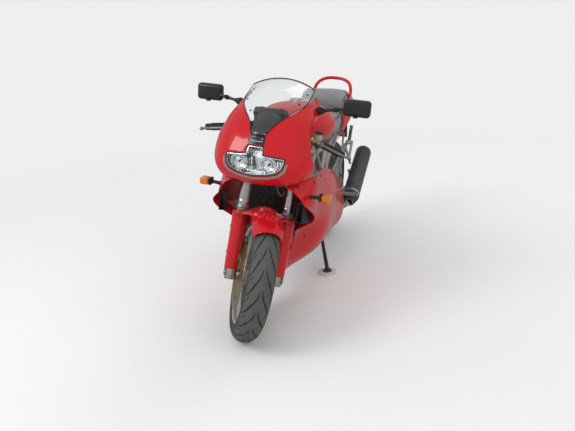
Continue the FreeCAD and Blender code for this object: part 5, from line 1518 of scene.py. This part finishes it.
class BIKE_OT_tail(Maker, bpy.types.Operator):
    """Makes the tail lamp, the grab rail, the filler cap, and the blank plate with its lamp."""
    bl_idname = "bike.tail"
    bl_label = "Tail, rail and filler"

    def make(self, scene):
        lamp = softened(from_cad("tail_lamp"), 0.0015, 2, 40)
        settled(lamp, "tail_lens", "red_lens", tinted_lens("tail lens", (0.55, 0.008, 0.008)), 40,
                ["tail_lamp"])
        feet = both_sides(turned([(10, -3), (15, -2), (16, 1), (14, 5), (10.4, 8), (10, -3)],
                                 at(-692, 114, 912), at(-4, 0, 30).normalized(), 32))
        settled(self.rail(), "grab_rail_smooth", "red_paint", body_paint(), 60, ["grab_rail"])
        settled(feet, "grab_rail_feet", "black_plastic", soft_rubber(), 40)
        middle, tilt = at(60, 0, 998), at(40, 0, 1000).normalized()
        settled(self.filler(middle, tilt), "filler_ring", "bright_alloy", bright_alloy(), 35, ["fuel_cap"])
        flap = block(middle + tilt * 0.0072, (0.034, 0.016, 0.003), 0.001)
        settled(flap, "filler_flap", "black_alloy", black_alloy())
        down = (at(-917, 0, 618) - at(-885, 0, 712)).normalized()
        settled(self.plate(down), "number_plate_blank", "bright_alloy", plate_white())
        housing = block(at(-872, 0, 772), (0.030, 0.062, 0.020), 0.004, segments=3)
        settled(housing, "plate_lamp", "black_plastic", black_plastic())
        lens = block(at(-874, 0, 761.5), (0.020, 0.050, 0.004), 0.001)
        settled(lens, "plate_lamp_lens", "clear_lens", clear_glass("plate lamp lens"))
        studs = [bolt(at(-903.6, y, 664) - down * 0.034, at(-947, 0, 322), 0.0046, 0.002) for y in (58, -58)]
        settled(joined(studs), "plate_screws", "bright_alloy", bright_alloy())

    def rail(self):
        """Grab rail, smooth from the left foot round to the right one."""
        half = ((-690, 114, 900), (-697, 114, 930), (-712, 112, 958), (-733, 103, 980), (-754, 88, 996),
                (-774, 54, 1010))
        line = [at(*p) for p in half] + [at(-783, 0, 1014)] + [at(x, -y, z) for x, y, z in half[::-1]]
        return tube(line, 0.0098, sides=5)

    def filler(self, middle, tilt):
        """Stepped ring of the filler cap with eight screws."""
        ring = turned([(50, -2), (50, 4.5), (48.5, 6.6), (40, 7.0), (38.5, 5.6), (30, 5.6), (28, 6.4),
                       (12, 6.4), (11, 5.2), (2, 5.2)], middle, tilt, 64)
        screw = bolt(middle + at(44.5, 0, 0) + tilt * 0.0066, tilt, 0.0036, 0.0016)
        return joined([ring, ringed(screw, 8, middle, tilt)])

    def plate(self, down):
        """Pale blank face on the rear of the plate."""
        out = down.cross(LEFT).normalized()
        out = out if out.x < 0 else -out
        return block(at(-901, 0, 665) + out * 0.0024, (0.0012, 0.158, 0.096), 0.0005, along=out, up=-down)


def plate_white():
    return finish("blank plate", (0.70, 0.69, 0.65), rough=0.35, mottle=0.05, dust=0.35, grain=600.0)


MUFFLER_FRONT, MUFFLER_BACK = at(-440, 226, 368), at(-850, 213, 560)


class BIKE_OT_exhaust(Maker, bpy.types.Operator):
    """Makes the mufflers, with their cones, bands, rivets and outlets, and the pipes' clamps."""
    bl_idname = "bike.exhaust"
    bl_label = "Exhaust"

    def make(self, scene):
        along = (MUFFLER_BACK - MUFFLER_FRONT).normalized()
        end = (MUFFLER_BACK - MUFFLER_FRONT).length * 1000
        sleeve = turned([(44, 4), (50, 7), (50, end - 30), (49.2, end - 19), (46, end - 9), (40, end - 2.5),
                         (33, end), (30.5, end - 2), (29.5, end - 8), (29.5, end - 148)],
                        MUFFLER_FRONT, along, 72)
        settled(both_sides(sleeve), "muffler_sleeves", "muffler_black", muffler_coat(), 40, ["mufflers"])
        settled(both_sides(self.cone(along, end)), "muffler_cones", "muffler_black", stand_paint(), 40)
        settled(both_sides(self.bands(along, end)), "muffler_bands", "bright_alloy", bright_alloy(), 35)
        settled(softened(from_cad("exhaust_pipes"), 0.0006, 2, 45), "exhaust_pipes_heated", "exhaust_steel",
                heated_steel(), 40, ["exhaust_pipes"])
        settled(both_sides(self.clamps(along)), "pipe_clamps", "bright_alloy", bright_alloy(), 35)

    def cone(self, along, end):
        """Inlet cone, and the dark lining of the outlet."""
        cone = turned([(21.6, -51), (31, -50), (33, -44), (47.5, -6), (49.8, 0), (49.8, 9), (21.6, 9),
                       (21.6, -51)], MUFFLER_FRONT, along, 64)
        lining = turned([(25.5, end - 1), (29, end - 0.4), (29.2, end - 140), (24, end - 140), (23, end - 60),
                         (25.5, end - 1)], MUFFLER_FRONT, along, 48)
        return joined([cone, lining])

    def bands(self, along, end):
        """Two bands with rivets, the mounting strap with its bolt, and the outlet's rolled tip."""
        bands = [turned([(50.1, a), (51.6, a + 1), (51.6, a + w - 1), (50.1, a + w), (50.1, a)],
                        MUFFLER_FRONT, along, 72) for a, w in ((12, 10), (22, 3))]
        hold = MUFFLER_FRONT + along * 0.1965
        strap = [block(hold + at(0, -51, 18), (0.017, 0.007, 0.036), 0.0015, along=along),
                 bolt(hold + at(0, -55, 26), -LEFT, 0.007, 0.006)]
        below = UP.cross(along).cross(along).normalized() * -0.0500
        rivets = ringed(ball(MUFFLER_FRONT + along * 0.026 + below, 0.0026), 10, MUFFLER_FRONT, along)
        tip = turned([(29.5, end - 6), (30.8, end - 1.5), (30.6, end + 1.2), (28.4, end + 1.2),
                      (27.8, end - 6), (29.5, end - 6)], MUFFLER_FRONT, along, 56)
        return joined(bands + strap + [rivets, tip])

    def clamps(self, along):
        """Sleeve where the pipe meets the muffler, and three clamps with bolts along the pipes."""
        start, inlet = MUFFLER_FRONT - along * 0.050, at(-405, 212, 338)
        way = (inlet - start).normalized()
        sleeve = [(20.2, -16), (23, -15), (23, -1), (20.2, 0), (20.2, -16)]
        clamp = [(20.2, -8), (22.6, -7), (22.6, 7), (20.2, 8), (20.2, -8)]
        rings = [turned(sleeve, start + way * 0.012, way, 40)]
        for a, b, share in ((at(-215, 62, 214), at(150, 62, 212), 0.28), (at(-290, 118, 268), inlet, 0.5),
                            (at(285, 62, 258), at(338, 44, 392), 0.86)):
            spot, run = a.lerp(b, share), (b - a).normalized()
            rings.append(turned(clamp, spot, run, 40))
            rings.append(bolt(spot + at(0, 0, -23), LEFT, 0.0045, 0.010))
        return joined(rings)


class BIKE_OT_engine(Maker, bpy.types.Operator):
    """Adds cover bolts, caps, the sight glass, plug leads, hoses and the cooler's fins."""
    bl_idname = "bike.engine"
    bl_label = "Engine detail"

    def make(self, scene):
        settled(self.cover_bolts(), "cover_bolts", "bright_alloy", bright_alloy(), 35)
        settled(self.plug_leads(), "plug_leads", "black_plastic", soft_rubber(), 50)
        pipe = [(372, 122, 520), (350, 138, 492), (270, 130, 452), (170, 118, 420), (110, 108, 392)]
        pipes = [tube([at(x, side * y, z) for x, y, z in pipe], 0.0065, sides=4) for side in (1, -1)]
        settled(joined(pipes), "cooler_hoses", "black_alloy", black_alloy(), 60)
        fins = stacked(block(at(399.2, 0, 506), (0.0030, 0.236, 0.0011)), 28, 0.0048)
        edge = [block(at(399, side * 122, 570), (0.006, 0.010, 0.140), 0.002) for side in (1, -1)]
        edge += [block(at(399, 0, z), (0.006, 0.250, 0.007), 0.002) for z in (503.5, 636.5)]
        settled(joined([fins] + edge), "cooler_fins", "black_alloy", black_alloy(), 30)

    def cover_bolts(self):
        """Rings of bolts round both side covers, and the plug in the left one."""
        screws = []
        for side in (1, -1):
            for centre, radius, count in ((at(-30, side * 150, 385), 0.080, 10),
                                          (at(75, side * 132, 345), 0.055, 8)):
                screw = bolt(centre + UP * radius, LEFT * side, 0.0052, 0.005)
                screws.append(ringed(screw, count, centre, LEFT))
        plug = turned([(26, 0), (26, 4), (23, 7), (12, 8), (11, 12), (1.5, 12)], at(-30, 150, 385), LEFT, 40)
        return joined(screws + [plug])

    def plug_leads(self):
        """Filler cap and sight glass on the right, and both plug leads with their caps."""
        filler = [(19, 0), (20, 2), (20, 9), (17, 13), (8, 14), (1.5, 14)]
        sight = [(13, 0), (13, 3), (10, 4), (9, 3), (1.5, 3)]
        caps = [turned(filler, at(-30, -150, 420), -LEFT, 8), turned(sight, at(75, -132, 330), -LEFT, 32)]
        front = ((262, 14, 452), (250, 34, 480), (196, 44, 520), (120, 40, 560), (80, 20, 640))
        rear = ((20, -10, 716), (46, -26, 700), (84, -30, 660), (90, -10, 610))
        leads = [tube([at(*p) for p in line], 0.0038, sides=3) for line in (front, rear)]
        plugs = [rod(at(262, 14, 452), at(236, 16, 446), 0.010, sides=20, soft=0.002),
                 rod(at(20, -10, 722), at(19, -10, 700), 0.010, sides=20, soft=0.002)]
        return joined(caps + leads + plugs)


def coil(start, end, radius, wire, turns):
    """Coil spring between two points."""
    put_down()
    bpy.ops.mesh.primitive_circle_add(vertices=12, radius=wire, location=(radius, 0, 0),
                                      rotation=(math.pi / 2, 0, 0))
    piece = fixed(bpy.context.object)
    steps = int(28 * turns)
    modified(piece, "SCREW", angle=math.tau * turns, screw_offset=(end - start).length, steps=steps,
             render_steps=steps, axis="Z")
    with editing():
        bpy.ops.mesh.fill_holes(sides=0)
        bpy.ops.mesh.normals_make_consistent(inside=False)
    piece.matrix_world = facing(start, end - start)
    return fixed(piece)


class BIKE_OT_springs(Maker, bpy.types.Operator):
    """Makes the rear spring and its damper, with the eyes and bolts at both ends."""
    bl_idname = "bike.springs"
    bl_label = "Springs"

    def make(self, scene):
        low, high = at(-313, 0, 444), at(-225, 0, 700)
        along = (high - low).normalized()
        end = (high - low).length * 1000
        spring = coil(low + along * 0.062, low + along * 0.220, 0.0285, 0.0052, 6.5)
        settled(spring, "shock_spring", "spring_steel", spring_paint(), 60)
        damper = turned([(7, 16), (7.5, 30), (12, 32), (36, 46), (37.5, 50), (37.5, 58), (24, 60), (23, 64),
                         (21, 66), (21, 150), (9, 152), (9, 214), (24, 216), (37, 222), (37, 232), (30, 236),
                         (12, 244), (8, end - 22)], low, along, 48)
        eyes = [self.cross_pin(spot, 13, 0.016, 36, 0.0015) for spot in (low, high)]
        settled(joined([damper] + eyes), "shock_damper", "black_alloy", black_alloy(), 35, ["rear_shock"])
        studs = [self.cross_pin(spot, 22, 0.007, 6, 0.001) for spot in (low, high)]
        settled(joined(studs), "shock_bolts", "bright_alloy", bright_alloy())

    def cross_pin(self, spot, half, radius, sides, soft):
        return rod(spot - at(0, half, 0), spot + at(0, half, 0), radius, sides=sides, soft=soft)


class BIKE_OT_footrests(Maker, bpy.types.Operator):
    """Puts ribbed rubbers on the pegs and adds the gear lever, the brake pedal and the hanger bolts."""
    bl_idname = "bike.footrests"
    bl_label = "Pegs and pedals"

    def make(self, scene):
        rubbers = [self.rubber(at(-345, 172, 410.8), at(-345, 282, 416), 12.8),
                   self.rubber(at(-535, 166.4, 692), at(-556, 168, 776), 10.2)]
        settled(both_sides(joined(rubbers)), "peg_rubbers", "grip_rubber", soft_rubber(), 35)
        arm = [rod(at(-345, 158, 410), at(-345, 172, 410.5), 0.013, sides=28, soft=0.002)]
        arm.append(tube([at(-345, 168, 410), at(-300, 171, 398), at(-240, 172, 386), at(-196, 174, 384)],
                        0.0062, sides=3))
        arm.append(rod(at(-196, 168, 384), at(-196, 206, 385), 0.0070, sides=20, soft=0.002))
        arm += [bolt(at(x, 158, z), LEFT, 0.0075, 0.006)
                for x, z in ((-175, 588), (-345, 430), (-318, 402), (-400, 646))]
        settled(both_sides(joined(arm)), "foot_levers", "bright_alloy", bright_alloy(), 40)
        toes = both_sides(rod(at(-196, 186, 384.4), at(-196, 212, 385), 0.0098, sides=24, soft=0.002))
        settled(toes, "toe_rubbers", "grip_rubber", soft_rubber())

    def rubber(self, low, high, thick):
        """Rubber sleeve with rings cut round it every six millimetres."""
        along, run = (high - low).normalized(), (high - low).length * 1000
        outline = [(thick - 3, 0), (thick - 0.4, 0.5), (thick, 3)]
        for step in range(int(run / 6) - 1):
            near = 5 + step * 6
            outline += [(thick, near), (thick - 1.2, near + 1), (thick - 1.2, near + 2.6),
                        (thick, near + 3.6)]
        outline += [(thick, run - 2), (thick - 1.3, run - 0.4), (3, run - 0.2)]
        return turned(outline, low, along, 28)


# Panels, and places near which a screw is set on each
PANEL_SCREWS = (
    ("side_cowl_left", ((612, 170, 722), (512, 220, 724), (396, 224, 724), (120, 222, 668),
                        (-180, 222, 486), (380, 190, 372), (60, 130, 190))),
    ("tail_cowl", ((-300, 160, 800), (-560, 166, 880))),
    ("upper_cowl", ((560, 214, 800),)),
)


class BIKE_OT_fasteners(Maker, bpy.types.Operator):
    """Sets screws along the panels' seams and fills the ducts with mesh."""
    bl_idname = "bike.fasteners"
    bl_label = "Panel fasteners"

    def make(self, scene):
        screws = []
        for node, spots in PANEL_SCREWS:
            for x, y, z in spots:
                spot, out = on_skin(node, at(x, y, z))
                out = out if out.y > 0 else -out
                screws.append(bolt(spot + out * 0.0004, out, 0.0058, 0.0018))
        settled(both_sides(joined(screws)), "panel_screws", "black_plastic", black_alloy())
        along = (at(520, 206, 578) - at(606, 184, 600)).normalized()
        bars = stacked(block(at(590, 187, 596), (0.0016, 0.026, 0.0016), along=along), 11, 0.0066)
        bars.location.z = -0.033
        settled(both_sides(fixed(bars)), "duct_bars", "black_plastic", black_plastic())


# Add-on

class BIKE_PT_panel(bpy.types.Panel):
    """Lists the bike's sizes, colours and steps."""
    bl_idname = "BIKE_PT_panel"
    bl_label = "Sport bike"
    bl_space_type = "VIEW_3D"
    bl_region_type = "UI"
    bl_category = "Sport bike"

    def draw(self, context):
        for group in (context.scene.bike_paint, context.scene.bike_tyres, context.scene.bike_view):
            column = self.layout.column()
            for name in type(group).__annotations__:
                column.prop(group, name)
        for step in STEPS:
            self.layout.operator(step.bl_idname)


STEPS = (
    BIKE_OT_stage, BIKE_OT_panels, BIKE_OT_castings, BIKE_OT_tyres, BIKE_OT_wheels, BIKE_OT_discs,
    BIKE_OT_drive, BIKE_OT_headlamp, BIKE_OT_neck, BIKE_OT_screen, BIKE_OT_dials, BIKE_OT_mirrors,
    BIKE_OT_indicators, BIKE_OT_controls, BIKE_OT_fork, BIKE_OT_seat, BIKE_OT_tail, BIKE_OT_exhaust,
    BIKE_OT_engine, BIKE_OT_springs, BIKE_OT_footrests, BIKE_OT_fasteners,
)
CLASSES = (PaintSettings, TyreSettings, ViewSettings) + STEPS + (BIKE_PT_panel,)


def register():
    for kind in CLASSES:
        bpy.utils.register_class(kind)
    bpy.types.Scene.bike_paint = PointerProperty(type=PaintSettings)
    bpy.types.Scene.bike_tyres = PointerProperty(type=TyreSettings)
    bpy.types.Scene.bike_view = PointerProperty(type=ViewSettings)


def unregister():
    del bpy.types.Scene.bike_paint, bpy.types.Scene.bike_tyres, bpy.types.Scene.bike_view
    for kind in reversed(CLASSES):
        bpy.utils.unregister_class(kind)


def main():
    register()
    for step in STEPS:
        area, name = step.bl_idname.split(".")
        getattr(getattr(bpy.ops, area), name)()


if __name__ == "__main__":
    main()
